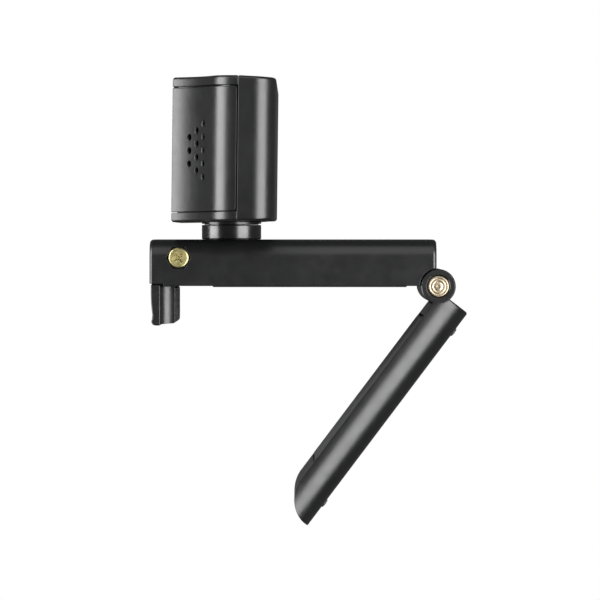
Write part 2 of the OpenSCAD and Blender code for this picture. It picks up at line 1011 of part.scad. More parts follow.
module leg_pad() {
    half = arm_w / 2 - leg_wall - 0.8;
    color("#1a1a1b")
    in_leg()
    block([-half, 1.25, leg_cover_z[0] + 0.4], [half, 1.95, leg_cover_z[1] - 0.4]);
}

module leg_feet() {
    color("#3a3b3d")
    in_leg()
    for (z = [-6.3, -56.1])
        for (side = [-1, 1])
            rod_y(leg_out + 0.02, leg_out + 0.45, side * 8, z, 1.05);
}

module leg_screws() {
    color("#9a9ba0")
    in_leg()
    for (side = [-1, 1])
        for (z = leg_screw_z)
            translate([side * leg_screw_x, 2.68, z])
                rotate([-90, 0, 0])
                    screw(1.8, 0.65, 0.9, 4.7);
}

// ---------------------------------------------------------------- assembly

arm_shell();
arm_cover();
arm_pad();
cover_screws();
tripod_insert();
swivel_neck();
hook_pin();
hook_nut();
hinge_pin();
hinge_washers();
front_frame();
front_panel();
rear_shell();
case_screws();
cable_grommet();
lens_bezel();
lens_window();
lens_barrel();
lens_glass();
lens_holder();
ir_filter();
image_sensor();
main_board();
board_screws();
shield_can();
cable_socket();
status_led();
light_pipe();
mic_gaskets();
mic_boards();
mic_capsules();
swivel_collar();
swivel_plate();
plate_screws();
swivel_washer();
swivel_spring();
swivel_screw();
hook_body();
hook_pad();
leg_shell();
leg_cover();
leg_pad();
leg_feet();
leg_screws();
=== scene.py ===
"""Webcam on a folding screen clip: detailed pieces, materials, light and camera.

Shapes are drawn in millimetres around anchors that come from the CAD frame, then scaled to
metres. The camera head's pieces are drawn upright and leaned back as the frame says.
"""
import json
import math

import bmesh
import bpy
from mathutils import Matrix, Vector


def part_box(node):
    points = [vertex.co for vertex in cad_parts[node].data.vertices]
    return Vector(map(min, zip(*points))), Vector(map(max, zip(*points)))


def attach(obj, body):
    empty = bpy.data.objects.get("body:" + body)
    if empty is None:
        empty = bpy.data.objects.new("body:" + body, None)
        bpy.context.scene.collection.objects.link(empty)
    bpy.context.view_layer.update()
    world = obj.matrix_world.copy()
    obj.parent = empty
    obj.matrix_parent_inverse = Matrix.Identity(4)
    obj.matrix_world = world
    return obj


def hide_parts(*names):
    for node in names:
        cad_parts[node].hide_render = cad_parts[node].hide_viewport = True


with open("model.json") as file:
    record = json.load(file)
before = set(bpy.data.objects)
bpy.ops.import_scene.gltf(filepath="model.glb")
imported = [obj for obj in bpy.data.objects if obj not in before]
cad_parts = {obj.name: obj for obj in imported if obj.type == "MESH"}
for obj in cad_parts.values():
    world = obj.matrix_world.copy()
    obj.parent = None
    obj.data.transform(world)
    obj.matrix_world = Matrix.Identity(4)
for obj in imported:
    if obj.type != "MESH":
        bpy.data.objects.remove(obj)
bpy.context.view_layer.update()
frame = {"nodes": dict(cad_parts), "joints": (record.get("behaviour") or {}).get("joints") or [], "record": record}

MM = 0.001


# ------------------------------------------------------------------ anchors, in millimetres

def corners(node):
    """The two corners of a CAD node's box."""
    lo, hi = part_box(node)
    return lo / MM, hi / MM


def joint_at(name):
    """A joint's place in the rest pose."""
    found = next(j for j in frame["joints"] if j["name"] == name)
    return Vector(found["pos_m"]) / MM


def mount(name):
    return next(m for m in frame["record"]["mounts"] if m["name"] == name)


ARM_LO, ARM_HI = corners("arm_shell")
HALF_W = ARM_HI.x                       # half the width of arm, hook and leg
BEYOND = 40                             # past either side of the clip, for cutters along X
ARM_FRONT = ARM_LO.y
ARM_TOP = ARM_HI.z
ARM_REAR = ARM_FRONT + 66.1
ARM_BASE = 0.3                          # lower edge of the side walls
ARM_INNER = HALF_W - 2.9                # inner face of the side walls
ARM_EDGE_R = 4.1
HOOK_PIN = joint_at("hook_hinge")
HINGE = joint_at("leg_hinge")
NECK_Y = joint_at("head_swivel").y
NECK_HI = corners("swivel_neck")[1]
NECK_R = NECK_HI.x

inlet_axis = Vector(mount("cable_inlet")["axis"])
LEAN = math.atan2(-inlet_axis.z, inlet_axis.y)
leg_axis = Vector(mount("leg_face")["axis"])
LEG_TILT = math.atan2(leg_axis.z, -leg_axis.y)

HEAD_BASE = 14.75                       # underside of the head at its front edge
HEAD_PIVOT = Vector((0, NECK_Y, HEAD_BASE))
LEAN_MATRIX = (
    Matrix.Translation(HEAD_PIVOT) @ Matrix.Rotation(-LEAN, 4, "X") @ Matrix.Translation(-HEAD_PIVOT)
)
LEG_MATRIX = Matrix.Translation(HINGE) @ Matrix.Rotation(-LEG_TILT, 4, "X")

HEAD_HALF = corners("rear_shell")[1].x
HEAD_H = 32.9
HEAD_D = 23.6
HEAD_TOP = HEAD_BASE + HEAD_H
HEAD_FRONT = -30.4
HEAD_REAR = HEAD_FRONT + HEAD_D
BASE_RISE = 0.75                        # of the underside, from front to rear
TOP_FALL = 0.35                         # of the top, from the seam to the rear
AHEAD_Y = -34.0                         # in front of the head, where its cutters start
SEAM_Y = -15.25
SEAM_GAP = 0.02                         # from the seam's middle to either housing
SEAM_EDGE_R = 0.1
POST_FRONT = -21.9                      # front end of the screw posts
WALL = 1.6
RIDGE_R = 7.0
RIDGE = Vector((HEAD_HALF - RIDGE_R, -14.9))
RIDGE_TURN = 72                         # where the hollow meets the ridge, in degrees
HOLLOW_R = 30.0
HOLLOW = RIDGE + (HOLLOW_R + RIDGE_R) * Vector((
    math.cos(math.radians(RIDGE_TURN)), -math.sin(math.radians(RIDGE_TURN))))
CORNER_R = 5.2
RAIL = 2.1
PANEL_T = 1.2
RECESS = PANEL_T + 0.15
FRAME_DEPTH = RECESS + 1.5
GROOVE = 0.3
LENS_Z = 31.0
MIC_TURN = 58.0                         # place of the middle column round the hollow, in degrees
MIC_COLUMN = 3.1                        # between columns, along the hollow
MIC_PITCH = 3.0                         # between the holes of a column
MIC_R = 0.6
MIC_WINDOW = Vector((7.25, 4.2, 6))     # half the opening behind the holes
WINDOW_R = 9.5
LED_X = 21.0
INLET_Z = 21.4
CASE_SCREW = (35.0, 11.6)


# ------------------------------------------------------------------ mesh helpers

def arc(cx, cy, r, a0, a1, steps):
    """Points along an arc, angles in degrees."""
    out = []
    for i in range(steps + 1):
        a = math.radians(a0 + (a1 - a0) * i / steps)
        out.append((cx + r * math.cos(a), cy + r * math.sin(a)))
    return out


def add_object(name, data):
    obj = bpy.data.objects.new(name, data)
    bpy.context.scene.collection.objects.link(obj)
    return obj


def discard(obj):
    data = obj.data
    bpy.data.objects.remove(obj)
    bpy.data.meshes.remove(data)


def new_object(name, verts, faces):
    """A mesh object from points in millimetres."""
    mesh = bpy.data.meshes.new(name)
    mesh.from_pydata([Vector(v) * MM for v in verts], [], faces)
    bm = bmesh.new()
    bm.from_mesh(mesh)
    bmesh.ops.remove_doubles(bm, verts=bm.verts, dist=2e-7)
    bmesh.ops.dissolve_degenerate(bm, edges=bm.edges, dist=2e-7)
    bmesh.ops.recalc_face_normals(bm, faces=bm.faces)
    bm.to_mesh(mesh)
    bm.free()
    return add_object(name, mesh)


def loft(name, rings):
    """A closed solid through rings of the same number of points, capped at both ends."""
    n = len(rings[0])
    verts = [p for ring in rings for p in ring]
    faces = [tuple(range(n))[::-1], tuple(range((len(rings) - 1) * n, len(rings) * n))]
    for k in range(len(rings) - 1):
        for i in range(n):
            j = (i + 1) % n
            faces.append((k * n + i, k * n + j, (k + 1) * n + j, (k + 1) * n + i))
    return new_object(name, verts, faces)


def revolve(name, profile, steps=96, closed=True):
    """Turns a profile of (radius, height) points about Z. Points at radius 0 become poles."""
    verts, rows = [], []
    for r, z in profile:
        if r < 1e-6:
            rows.append([len(verts)] * steps)
            verts.append((0, 0, z))
        else:
            rows.append(list(range(len(verts), len(verts) + steps)))
            for i in range(steps):
                a = 2 * math.pi * i / steps
                verts.append((r * math.cos(a), r * math.sin(a), z))
    faces = []
    last = len(profile) if closed else len(profile) - 1
    for k in range(last):
        lo, hi = rows[k], rows[(k + 1) % len(rows)]
        for i in range(steps):
            j = (i + 1) % steps
            face = []
            for v in (lo[i], lo[j], hi[j], hi[i]):
                if v not in face:
                    face.append(v)
            if len(face) > 2:
                faces.append(tuple(face))
    return new_object(name, verts, faces)


def rounded(points, radius=0.15, steps=3):
    """Rounds every corner of a closed profile, less where its sides are short."""
    out = []
    n = len(points)
    for i in range(n):
        p = Vector(points[i])
        a, b = Vector(points[i - 1]) - p, Vector(points[(i + 1) % n]) - p
        if p.x < 1e-6 or a.length < 1e-6 or b.length < 1e-6:
            out.append(tuple(p))
            continue
        t = min(radius, 0.45 * a.length, 0.45 * b.length)
        start, end = p + a.normalized() * t, p + b.normalized() * t
        for k in range(steps + 1):
            u = k / steps
            q = start * (1 - u) ** 2 + p * 2 * u * (1 - u) + end * u ** 2
            out.append((q.x, q.y))
    return out


def place(obj, matrix):
    """Moves the mesh itself, by a matrix in millimetres."""
    shift = matrix.to_3x3().to_4x4()
    shift.translation = matrix.translation * MM
    obj.data.transform(shift)
    obj.data.update()
    return obj


def at(x=0, y=0, z=0):
    """A move, in millimetres."""
    return Matrix.Translation((x, y, z))


FACE_X = Matrix.Rotation(math.radians(90), 4, "Y")      # +Z of a revolve to +X
FACE_Y = Matrix.Rotation(math.radians(-90), 4, "X")     # +Z to +Y
FACE_FRONT = Matrix.Rotation(math.radians(90), 4, "X")  # +Z to -Y
QUARTER = Matrix.Rotation(math.radians(90), 4, "Z")


def apply_modifiers(obj):
    graph = bpy.context.evaluated_depsgraph_get()
    made = bpy.data.meshes.new_from_object(obj.evaluated_get(graph))
    obj.modifiers.clear()
    old = obj.data
    obj.data = made
    bpy.data.meshes.remove(old)


def boolean(obj, others, operation="DIFFERENCE"):
    """Applies exact booleans with the other objects, then removes those."""
    for other in others:
        mod = obj.modifiers.new("cut", "BOOLEAN")
        mod.operation = operation
        mod.solver = "EXACT"
        mod.object = other
    apply_modifiers(obj)
    for other in others:
        discard(other)
    bm = bmesh.new()
    bm.from_mesh(obj.data)
    bmesh.ops.remove_doubles(bm, verts=bm.verts, dist=1e-6)
    bmesh.ops.dissolve_degenerate(bm, edges=bm.edges, dist=1e-6)
    bm.to_mesh(obj.data)
    bm.free()
    return obj


def bevel(obj, width, angle=35, segments=3):
    """Rounds the sharp edges of a simple solid for good."""
    mod = obj.modifiers.new("round", "BEVEL")
    mod.width = width * MM
    mod.segments = segments
    mod.limit_method = "ANGLE"
    mod.angle_limit = math.radians(angle)
    apply_modifiers(obj)
    return obj


def box(name, lo, hi, round_by=0.0):
    """A block between two corners."""
    verts = [(x, y, z) for x in (lo[0], hi[0]) for y in (lo[1], hi[1]) for z in (lo[2], hi[2])]
    faces = [(0, 1, 3, 2), (4, 6, 7, 5), (0, 4, 5, 1), (2, 3, 7, 6), (0, 2, 6, 4), (1, 5, 7, 3)]
    obj = new_object(name, verts, faces)
    return bevel(obj, round_by) if round_by else obj


def rod(name, r, h, edge=0.0, steps=96, foot=None):
    """A turned rod from the origin up +Z with chamfered ends; a negative edge flares the mouth."""
    foot = edge if foot is None else foot
    return revolve(name, [
        (0, 0), (r - foot, 0), (r, abs(foot)), (r, h - abs(edge)), (r - edge, h), (0, h)
    ], steps, closed=False)


def hexagon(name, flats, h):
    """A six-sided prism from the origin up +Z, by its size across flats."""
    r = flats / 2 / math.cos(math.radians(30))
    ring = arc(0, 0, r, 0, 300, 5)
    return loft(name, [[(x, y, z) for x, y in ring] for z in (0, h)])


def cross_hole(name, r, y, z, steps):
    """A round cutter along X through the whole clip."""
    return place(rod(name, r, 2 * BEYOND, steps=steps), at(-BEYOND, y, z) @ FACE_X)


def prism_x(name, outline, x0, x1):
    """A prism along X of a (Y, Z) outline."""
    return loft(name, [[(x, y, z) for y, z in outline] for x in (x0, x1)])


def smooth(obj, angle=32):
    """Smooth shading, split at hard edges."""
    mesh = obj.data
    mesh.shade_smooth()
    bm = bmesh.new()
    bm.from_mesh(mesh)
    limit = math.radians(angle)
    for e in bm.edges:
        e.smooth = len(e.link_faces) == 2 and e.calc_face_angle(0) < limit
    bm.to_mesh(mesh)
    bm.free()
    mod = obj.modifiers.new("weights", "WEIGHTED_NORMAL")
    mod.keep_sharp = True
    mod.weight = 90
    return obj


def finish_piece(obj, body, slot, replaces=(), angle=32):
    """Shades a piece, gives it its slot's material, ties it to a body, and hides the CAD nodes it replaces."""
    smooth(obj, angle)
    obj.data.materials.clear()
    obj.data.materials.append(MATERIALS[slot])
    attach(obj, body)
    if replaces:
        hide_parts(*replaces)
    return obj


# ------------------------------------------------------------------ materials

def feed(tree, socket, value):
    """Links an input to a socket, or sets its value."""
    if isinstance(value, bpy.types.NodeSocket):
        tree.links.new(value, socket)
    else:
        socket.default_value = value


def node(tree, kind, **inputs):
    """Adds a shader node; keyword names are input names with _ for spaces, or attributes."""
    made = tree.nodes.new("ShaderNode" + kind)
    for key, value in inputs.items():
        if hasattr(made, key) and key not in made.inputs:
            setattr(made, key, value)
        else:
            feed(tree, made.inputs[key.replace("_", " ")], value)
    return made


def math_node(tree, operation, a, b=0.0):
    """Arithmetic on two sockets or numbers."""
    made = tree.nodes.new("ShaderNodeMath")
    made.operation = operation
    feed(tree, made.inputs[0], a)
    feed(tree, made.inputs[1], b)
    return made.outputs[0]


def remap(tree, value, lo, hi, out_lo, out_hi):
    """Maps the range lo to hi of a socket to another range."""
    made = tree.nodes.new("ShaderNodeMapRange")
    tree.links.new(value, made.inputs["Value"])
    for name, number in (("From Min", lo), ("From Max", hi), ("To Min", out_lo), ("To Max", out_hi)):
        made.inputs[name].default_value = number
    return made.outputs["Result"]


def blend_colour(tree, factor, a, b):
    """Mixes two colours, each a socket or an RGB triple."""
    made = tree.nodes.new("ShaderNodeMix")
    made.data_type = "RGBA"
    tree.links.new(factor, made.inputs["Factor"])
    for name, value in (("A", a), ("B", b)):
        socket = next(s for s in made.inputs if s.name == name and s.type == "RGBA")
        feed(tree, socket, (*value, 1) if isinstance(value, tuple) else value)
    return next(s for s in made.outputs if s.type == "RGBA")


def surface(name, colour, rough, metal=0.0, grain=0.3, depth=0.004, blotch=7.0, shade=0.1,
            swing=0.06, wear=0.0, worn=None, edge=0.12, stretch=(1, 1, 1), rings=None, **principled):
    """A procedural finish. Sizes are in millimetres: grain and depth are the fine texture,
    blotch the slow variation, edge the rounding of hard edges, rings the turning marks
    as (centre, axis letter, pitch, depth)."""
    material = bpy.data.materials.new(name)
    material.use_nodes = True
    tree = material.node_tree
    shader = next(n for n in tree.nodes if n.type == "BSDF_PRINCIPLED")
    where = node(tree, "TexCoord").outputs["Object"]
    mapped = node(tree, "Mapping", Vector=where, Scale=stretch).outputs["Vector"]
    slow = node(tree, "TexNoise", Vector=mapped, Scale=1000 / blotch, Detail=4.0).outputs["Fac"]
    fine = node(tree, "TexNoise", Vector=mapped, Scale=1000 / grain, Detail=3.0,
                Roughness=0.6).outputs["Fac"]
    medium = node(tree, "TexNoise", Vector=mapped, Scale=1000 / (grain * 7), Detail=5.0).outputs["Fac"]

    dark = tuple(c * (1 - shade) for c in colour)
    light = tuple(min(1, c * (1 + shade)) for c in colour)
    tone = blend_colour(tree, remap(tree, slow, 0.3, 0.7, 0, 1), dark, light)
    speck = tuple(c * 0.72 for c in colour)
    tone = blend_colour(tree, remap(tree, fine, 0.45, 0.75, 0, 0.35), tone, speck)
    roughness = math_node(tree, "ADD", remap(tree, medium, 0.25, 0.75, rough - swing, rough + swing),
                          remap(tree, slow, 0.3, 0.7, -swing / 2, swing / 2))
    normal = None
    if edge:
        normal = node(tree, "Bevel", samples=4, Radius=edge * MM).outputs["Normal"]
    if wear:
        true_normal = node(tree, "NewGeometry").outputs["Normal"]
        dot = tree.nodes.new("ShaderNodeVectorMath")
        dot.operation = "DOT_PRODUCT"
        tree.links.new(normal, dot.inputs[0])
        tree.links.new(true_normal, dot.inputs[1])
        rim = remap(tree, dot.outputs["Value"], 0.995, 0.86, 0, wear)
        broken = remap(tree, medium, 0.35, 0.62, 0.25, 1)
        mask = math_node(tree, "MULTIPLY", rim, broken)
        tone = blend_colour(tree, mask, tone, worn or tuple(min(1, c * 3 + 0.01) for c in colour))
        roughness = math_node(tree, "SUBTRACT", roughness, math_node(tree, "MULTIPLY", mask, 0.08))
    tree.links.new(tone, shader.inputs["Base Color"])
    shader.inputs["Base Color"].default_value = (*colour, 1)
    tree.links.new(roughness, shader.inputs["Roughness"])
    bump = node(tree, "Bump", Height=fine, Distance=depth * MM, Strength=1.0)
    if normal:
        tree.links.new(normal, bump.inputs["Normal"])
    out = bump.outputs["Normal"]
    if rings:
        centre, axis, pitch, ring_depth = rings
        shift = tuple(-c * MM for c in centre)
        moved = node(tree, "Mapping", Vector=where, Location=shift).outputs["Vector"]
        wave = node(tree, "TexWave", wave_type="RINGS", rings_direction=axis, Vector=moved,
                    Scale=1000 / pitch / 20, Distortion=0.6, Detail=1.5, Detail_Scale=4.0)
        turned = node(tree, "Bump", Height=wave.outputs["Fac"], Distance=ring_depth * MM, Strength=1.0)
        tree.links.new(out, turned.inputs["Normal"])
        out = turned.outputs["Normal"]
    tree.links.new(out, shader.inputs["Normal"])
    shader.inputs["Metallic"].default_value = metal
    for key, value in principled.items():
        shader.inputs[key.replace("_", " ")].default_value = value
    return material


PLASTIC = dict(grain=0.3, depth=0.006, blotch=9, shade=0.12, swing=0.035, wear=0.3, edge=0.16,
               Specular_IOR_Level=0.38)
METAL = dict(metal=1.0, grain=0.15, depth=0.002, blotch=2.5, shade=0.12, swing=0.08, edge=0.06)
MATERIALS = {
    "housing_black": surface("housing_black", (0.0034, 0.0035, 0.0037), 0.33, **PLASTIC),
    "panel_black": surface("panel_black", (0.0036, 0.0037, 0.0040), 0.32, **PLASTIC),
    "cover_black": surface("cover_black", (0.0055, 0.0055, 0.006), 0.5, **PLASTIC),
    "rubber_black": surface("rubber_black", (0.007, 0.007, 0.0075), 0.72, grain=0.4, depth=0.01,
                            blotch=5, shade=0.2, swing=0.05, wear=0.3, edge=0.15),
    "rubber_feet": surface("rubber_feet", (0.022, 0.022, 0.023), 0.6, grain=0.3, depth=0.006,
                           blotch=2, shade=0.2, edge=0.1),
    "neck_gloss": surface("neck_gloss", (0.006, 0.006, 0.0065), 0.24, grain=0.2, depth=0.001,
                          blotch=3, shade=0.15, swing=0.03, wear=0.25, edge=0.12,
                          stretch=(0.2, 0.2, 1)),
    "bezel_gloss": surface("bezel_gloss", (0.005, 0.005, 0.0055), 0.14, grain=0.2, depth=0.0006,
                           blotch=4, shade=0.2, swing=0.03, edge=0.08),
    "lens_black": surface("lens_black", (0.008, 0.008, 0.0085), 0.5, grain=0.15, depth=0.002,
                          blotch=3, shade=0.15, edge=0.06),
    "foam_black": surface("foam_black", (0.012, 0.012, 0.012), 0.9, grain=0.22, depth=0.04,
                          blotch=2, shade=0.35, edge=0),
    "sensor_dark": surface("sensor_dark", (0.02, 0.035, 0.04), 0.2, grain=0.1, depth=0.0005,
                           blotch=1.5, shade=0.3, edge=0.05),
    "pin_brass": surface("pin_brass", (0.42, 0.37, 0.17), 0.42, wear=0.4,
                         worn=(0.5, 0.44, 0.22), **METAL),
    "pin_nickel": surface("pin_nickel", (0.30, 0.245, 0.175), 0.42,
                          rings=(HINGE, "X", 0.22, 0.0004), **METAL),
    "insert_brass": surface("insert_brass", (0.58, 0.41, 0.16), 0.3, wear=0.5,
                            worn=(0.7, 0.55, 0.28), **METAL),
    "screw_steel": surface("screw_steel", (0.48, 0.48, 0.5), 0.32, **METAL),
    "screw_black": surface("screw_black", (0.03, 0.03, 0.032), 0.38, wear=0.5,
                           worn=(0.3, 0.3, 0.3), **METAL),
    "spring_steel": surface("spring_steel", (0.33, 0.33, 0.34), 0.35, **METAL),
    "can_tin": surface("can_tin", (0.6, 0.6, 0.6), 0.3, **METAL),
    "board_green": surface("board_green", (0.012, 0.09, 0.035), 0.33, grain=0.35, depth=0.006,
                           blotch=3, shade=0.35, edge=0.05),
    "socket_ivory": surface("socket_ivory", (0.66, 0.62, 0.5), 0.45, grain=0.25, depth=0.003,
                            blotch=4, shade=0.08, edge=0.1),
    "led_body": surface("led_body", (0.75, 0.8, 0.84), 0.35, grain=0.15, depth=0.001,
                        blotch=0.8, shade=0.08, edge=0.05),
    "light_guide": surface("light_guide", (0.62, 0.68, 0.72), 0.18, grain=0.3, depth=0.0006,
                           blotch=2, shade=0.06, edge=0.05, Transmission_Weight=0.7),
    "window_glass": surface("window_glass", (0.30, 0.31, 0.33), 0.05, grain=0.5, depth=0.0002,
                            blotch=6, shade=0.04, swing=0.015, edge=0.05,
                            Transmission_Weight=0.95, IOR=1.49),
    "lens_glass": surface("lens_glass", (0.42, 0.45, 0.6), 0.04, grain=0.5, depth=0.0001,
                          blotch=3, shade=0.1, swing=0.01, edge=0,
                          Transmission_Weight=0.9, IOR=1.6, Coat_Weight=0.6, Coat_Roughness=0.03,
                          Coat_Tint=(0.5, 0.35, 0.9, 1)),
    "filter_glass": surface("filter_glass", (0.5, 0.2, 0.25), 0.06, grain=0.4, depth=0.0002,
                            blotch=2, shade=0.08, swing=0.015, edge=0,
                            Transmission_Weight=0.7, IOR=1.5),
}

NODE_SLOT = {s["node"]: s["material_slot"] for s in frame["record"]["subparts"]}
for name, obj in frame["nodes"].items():
    if not obj.material_slots:
        raise SystemExit(f"{name} has no material slot")
    for held in obj.material_slots:
        held.material = MATERIALS[NODE_SLOT[name]]


# ------------------------------------------------------------------ head housing

def fillet(r, steps=4):
    """(inset, distance from the face) along a quarter round, starting on the face."""
    out = []
    for i in range(steps + 1):
        a = math.radians(90 * i / steps)
        out.append((r * (1 - math.sin(a)), r * (1 - math.cos(a))))
    return out


FRONT_EDGE_R = 0.28
HEAD_EDGE_R = 0.7


def head_path(d, back, hollow_steps=20, ridge_steps=22):
    """Right-hand outline of the head, moved in by d: front edge, hollow and ridge, up to y = back."""
    edge = max(FRONT_EDGE_R - d, 0.05)
    r = HOLLOW_R + d
    cy = HEAD_FRONT + d + edge
    cx = HOLLOW.x - math.sqrt((r + edge) ** 2 - (cy - HOLLOW.y) ** 2)
    turn = math.degrees(math.atan2(HOLLOW.y - cy, HOLLOW.x - cx))
    reach = (back - RIDGE.y) / (RIDGE_R - d)
    end = math.degrees(math.asin(max(-1.0, min(0.0, reach))))
    return (
        arc(cx, cy, edge, -90, turn, 5)
        + arc(HOLLOW.x, HOLLOW.y, r, 180 + turn, 180 - RIDGE_TURN, hollow_steps)
        + arc(RIDGE.x, RIDGE.y, RIDGE_R - d, -RIDGE_TURN, end, ridge_steps)[1:]
    )


def mirrored(path):
    """A right-hand path and its mirror image, as one ring."""
    return path + [(-x, y) for x, y in reversed(path)]


def slope(y, low):
    """How far the underside rises, or the top falls behind the seam."""
    if low:
        return BASE_RISE * (y - HEAD_FRONT) / HEAD_D
    return -TOP_FALL * max(0.0, y - SEAM_Y) / (HEAD_REAR - SEAM_Y)


def frame_ring(d, z, low, back_in=0.0, back=None):
    """One level of the front housing, with its seam edge rounded."""
    back = SEAM_Y - SEAM_GAP - back_in if back is None else back
    e = SEAM_EDGE_R
    path = head_path(d, back - e)
    path += arc(path[-1][0] - e, back - e, e, 0, 90, 4)[1:]
    return [(x, y, z + slope(y, low)) for x, y in mirrored(path)]


def rear_ring(d, z, low, front_in=0.0, front=None):
    """One level of the rear housing, with its seam edge rounded."""
    e = SEAM_EDGE_R
    front = SEAM_Y + SEAM_GAP + front_in if front is None else front
    side = HEAD_HALF - d
    path = (
        arc(side - e, front + e, e, -90, 0, 4)
        + arc(HEAD_HALF - CORNER_R, HEAD_REAR - CORNER_R, CORNER_R - d, 0, 90, 20)
    )
    return [(x, y, z + slope(y, low)) for x, y in mirrored(path)]


def collar_cutters():
    """The round seat and hole in the underside, above the neck."""
    seat = rod("seat", 10.35, 3.4, steps=128)
    hole = rod("hole", 4.2, 9, steps=64)
    return [place(o, at(0, NECK_Y, HEAD_BASE - 2.6)) for o in (seat, hole)]


def four_screws():
    """(X, Z) of the case screws."""
    return [(sx * CASE_SCREW[0], LENS_Z + sz * CASE_SCREW[1]) for sx in (-1, 1) for sz in (-1, 1)]


def housing_levels(ring):
    """Rings from the rounded lower edge to the rounded upper edge, for frame_ring or rear_ring."""
    low = [ring(d, HEAD_BASE + z, True, max(0, 0.2 - z)) for d, z in fillet(HEAD_EDGE_R)]
    high = [ring(d, HEAD_TOP - z, False, max(0, 0.2 - z)) for d, z in reversed(fillet(HEAD_EDGE_R))]
    return low, high


def at_hollow(side, turn, r, z):
    """A place on one end's hollow, +Z facing out of the wall."""
    spin = 180 - turn if side > 0 else turn
    return (
        at(side * HOLLOW.x, HOLLOW.y, z)
        @ Matrix.Rotation(math.radians(spin), 4, "Z")
        @ at(r)
        @ Matrix.Rotation(math.radians(-90), 4, "Y")
    )


def join(name, parts):
    """Joins several meshes into one object."""
    bm = bmesh.new()
    for part in parts:
        bm.from_mesh(part.data)
    mesh = bpy.data.meshes.new(name)
    bm.to_mesh(mesh)
    bm.free()
    for part in parts:
        discard(part)
    return add_object(name, mesh)


# front housing
RAIL_EDGE_R = 0.14
low_levels, high_levels = housing_levels(frame_ring)
rings = low_levels
rings += [frame_ring(d, HEAD_BASE + RAIL - z, True) for d, z in reversed(fillet(RAIL_EDGE_R, 2))]
rings += [frame_ring(RECESS, HEAD_BASE + RAIL, True), frame_ring(RECESS, HEAD_TOP - RAIL, False)]
rings += [frame_ring(d, HEAD_TOP - RAIL + z, False) for d, z in fillet(RAIL_EDGE_R, 2)]
front = loft("front_housing", rings + high_levels)
cavity = loft("cavity", [
    frame_ring(FRAME_DEPTH, HEAD_BASE + WALL, True, back=SEAM_Y + 3.25),
    frame_ring(FRAME_DEPTH, HEAD_TOP - WALL, False, back=SEAM_Y + 3.25),
])
cutters = [cavity] + collar_cutters()
cutters.append(place(rod("lens", 11, 6, -0.2), at(0, AHEAD_Y, LENS_Z) @ FACE_Y))
cutters.append(place(rod("led", 1.3, 6, steps=32), at(LED_X, AHEAD_Y, LENS_Z) @ FACE_Y))
for side in (-1, 1):
    window = box("mic_window", -MIC_WINDOW, MIC_WINDOW)
    cutters.append(place(window, at_hollow(side, MIC_TURN, HOLLOW_R, LENS_Z)))
front = boolean(front, cutters)
posts = []
for x, z in four_screws():
    post = revolve("post", rounded([
        (0.95, POST_FRONT), (2.7, POST_FRONT), (2.7, SEAM_Y - 0.45), (0.95, SEAM_Y - 0.45)
    ], 0.2), 40)
    posts.append(place(post, at(x, 0, z) @ FACE_Y))
front = boolean(front, posts, "UNION")
finish_piece(place(front, LEAN_MATRIX), "head", "housing_black", ["front_frame"])

# front panel: a strip of one thickness round the front, its edges and rear corners rounded
PANEL_EDGE = 0.2
PANEL_CORNER = 0.7
panel_lo = HEAD_BASE + RAIL + 0.5 * GROOVE
panel_hi = HEAD_TOP - RAIL - GROOVE
levels = []
for inset, rise in fillet(PANEL_EDGE, 3):
    levels.append((inset, rise))
for k in range(1, 6):
    levels.append((0.0, PANEL_EDGE + (PANEL_CORNER - PANEL_EDGE) * k / 5))
grid = []
for low in (True, False):
    for inset, rise in (levels if low else reversed(levels)):
        drop = PANEL_CORNER - min(rise, PANEL_CORNER)
        short = PANEL_CORNER - math.sqrt(max(0, PANEL_CORNER ** 2 - drop ** 2))
        back = SEAM_Y - SEAM_GAP - GROOVE - short
        outer = mirrored(head_path(inset, back, 60, 22))
        inner = mirrored(head_path(PANEL_T, back, 60, 22))
        z = panel_lo + rise if low else panel_hi - rise
        grid.append([[(x, y, z + slope(y, low)) for x, y in row] for row in (outer, inner)])
n = len(grid[0][0])
verts = [p for outer, inner in grid for p in outer + inner]
faces = []
for k in range(len(grid) - 1):
    a, b = 2 * n * k, 2 * n * (k + 1)
    for i in range(n - 1):
        faces.append((a + i, a + i + 1, b + i + 1, b + i))
        faces.append((a + n + i, b + n + i, b + n + i + 1, a + n + i + 1))
    for i in (0, n - 1):
        faces.append((a + i, b + i, b + n + i, a + n + i))
for k in (0, len(grid) - 1):
    a = 2 * n * k
    for i in range(n - 1):
        faces.append((a + i, a + i + 1, a + n + i + 1, a + n + i))
panel = new_object("front_panel_skin", verts, faces)
cutters = [
    place(rod("lens", 12.5, 8, steps=160), at(0, AHEAD_Y, LENS_Z) @ FACE_Y),
    place(rod("led", 1.1, 8, steps=40), at(LED_X, AHEAD_Y, LENS_Z) @ FACE_Y),
]
column = math.degrees(MIC_COLUMN / HOLLOW_R)
for side in (-1, 1):
    for c in (-1, 0, 1):
        for k in range(c + 4):
            hole = revolve("mic", [
                (0, -3), (MIC_R, -3), (MIC_R, -0.24), (MIC_R + 0.5, 0.26), (0, 0.26)
            ], 20, closed=False)
            z = LENS_Z + (k - (c + 3) / 2) * MIC_PITCH
            cutters.append(place(hole, at_hollow(side, MIC_TURN + c * column, HOLLOW_R, z)))
panel = boolean(panel, cutters)
finish_piece(place(panel, LEAN_MATRIX), "head", "panel_black", ["front_panel"])

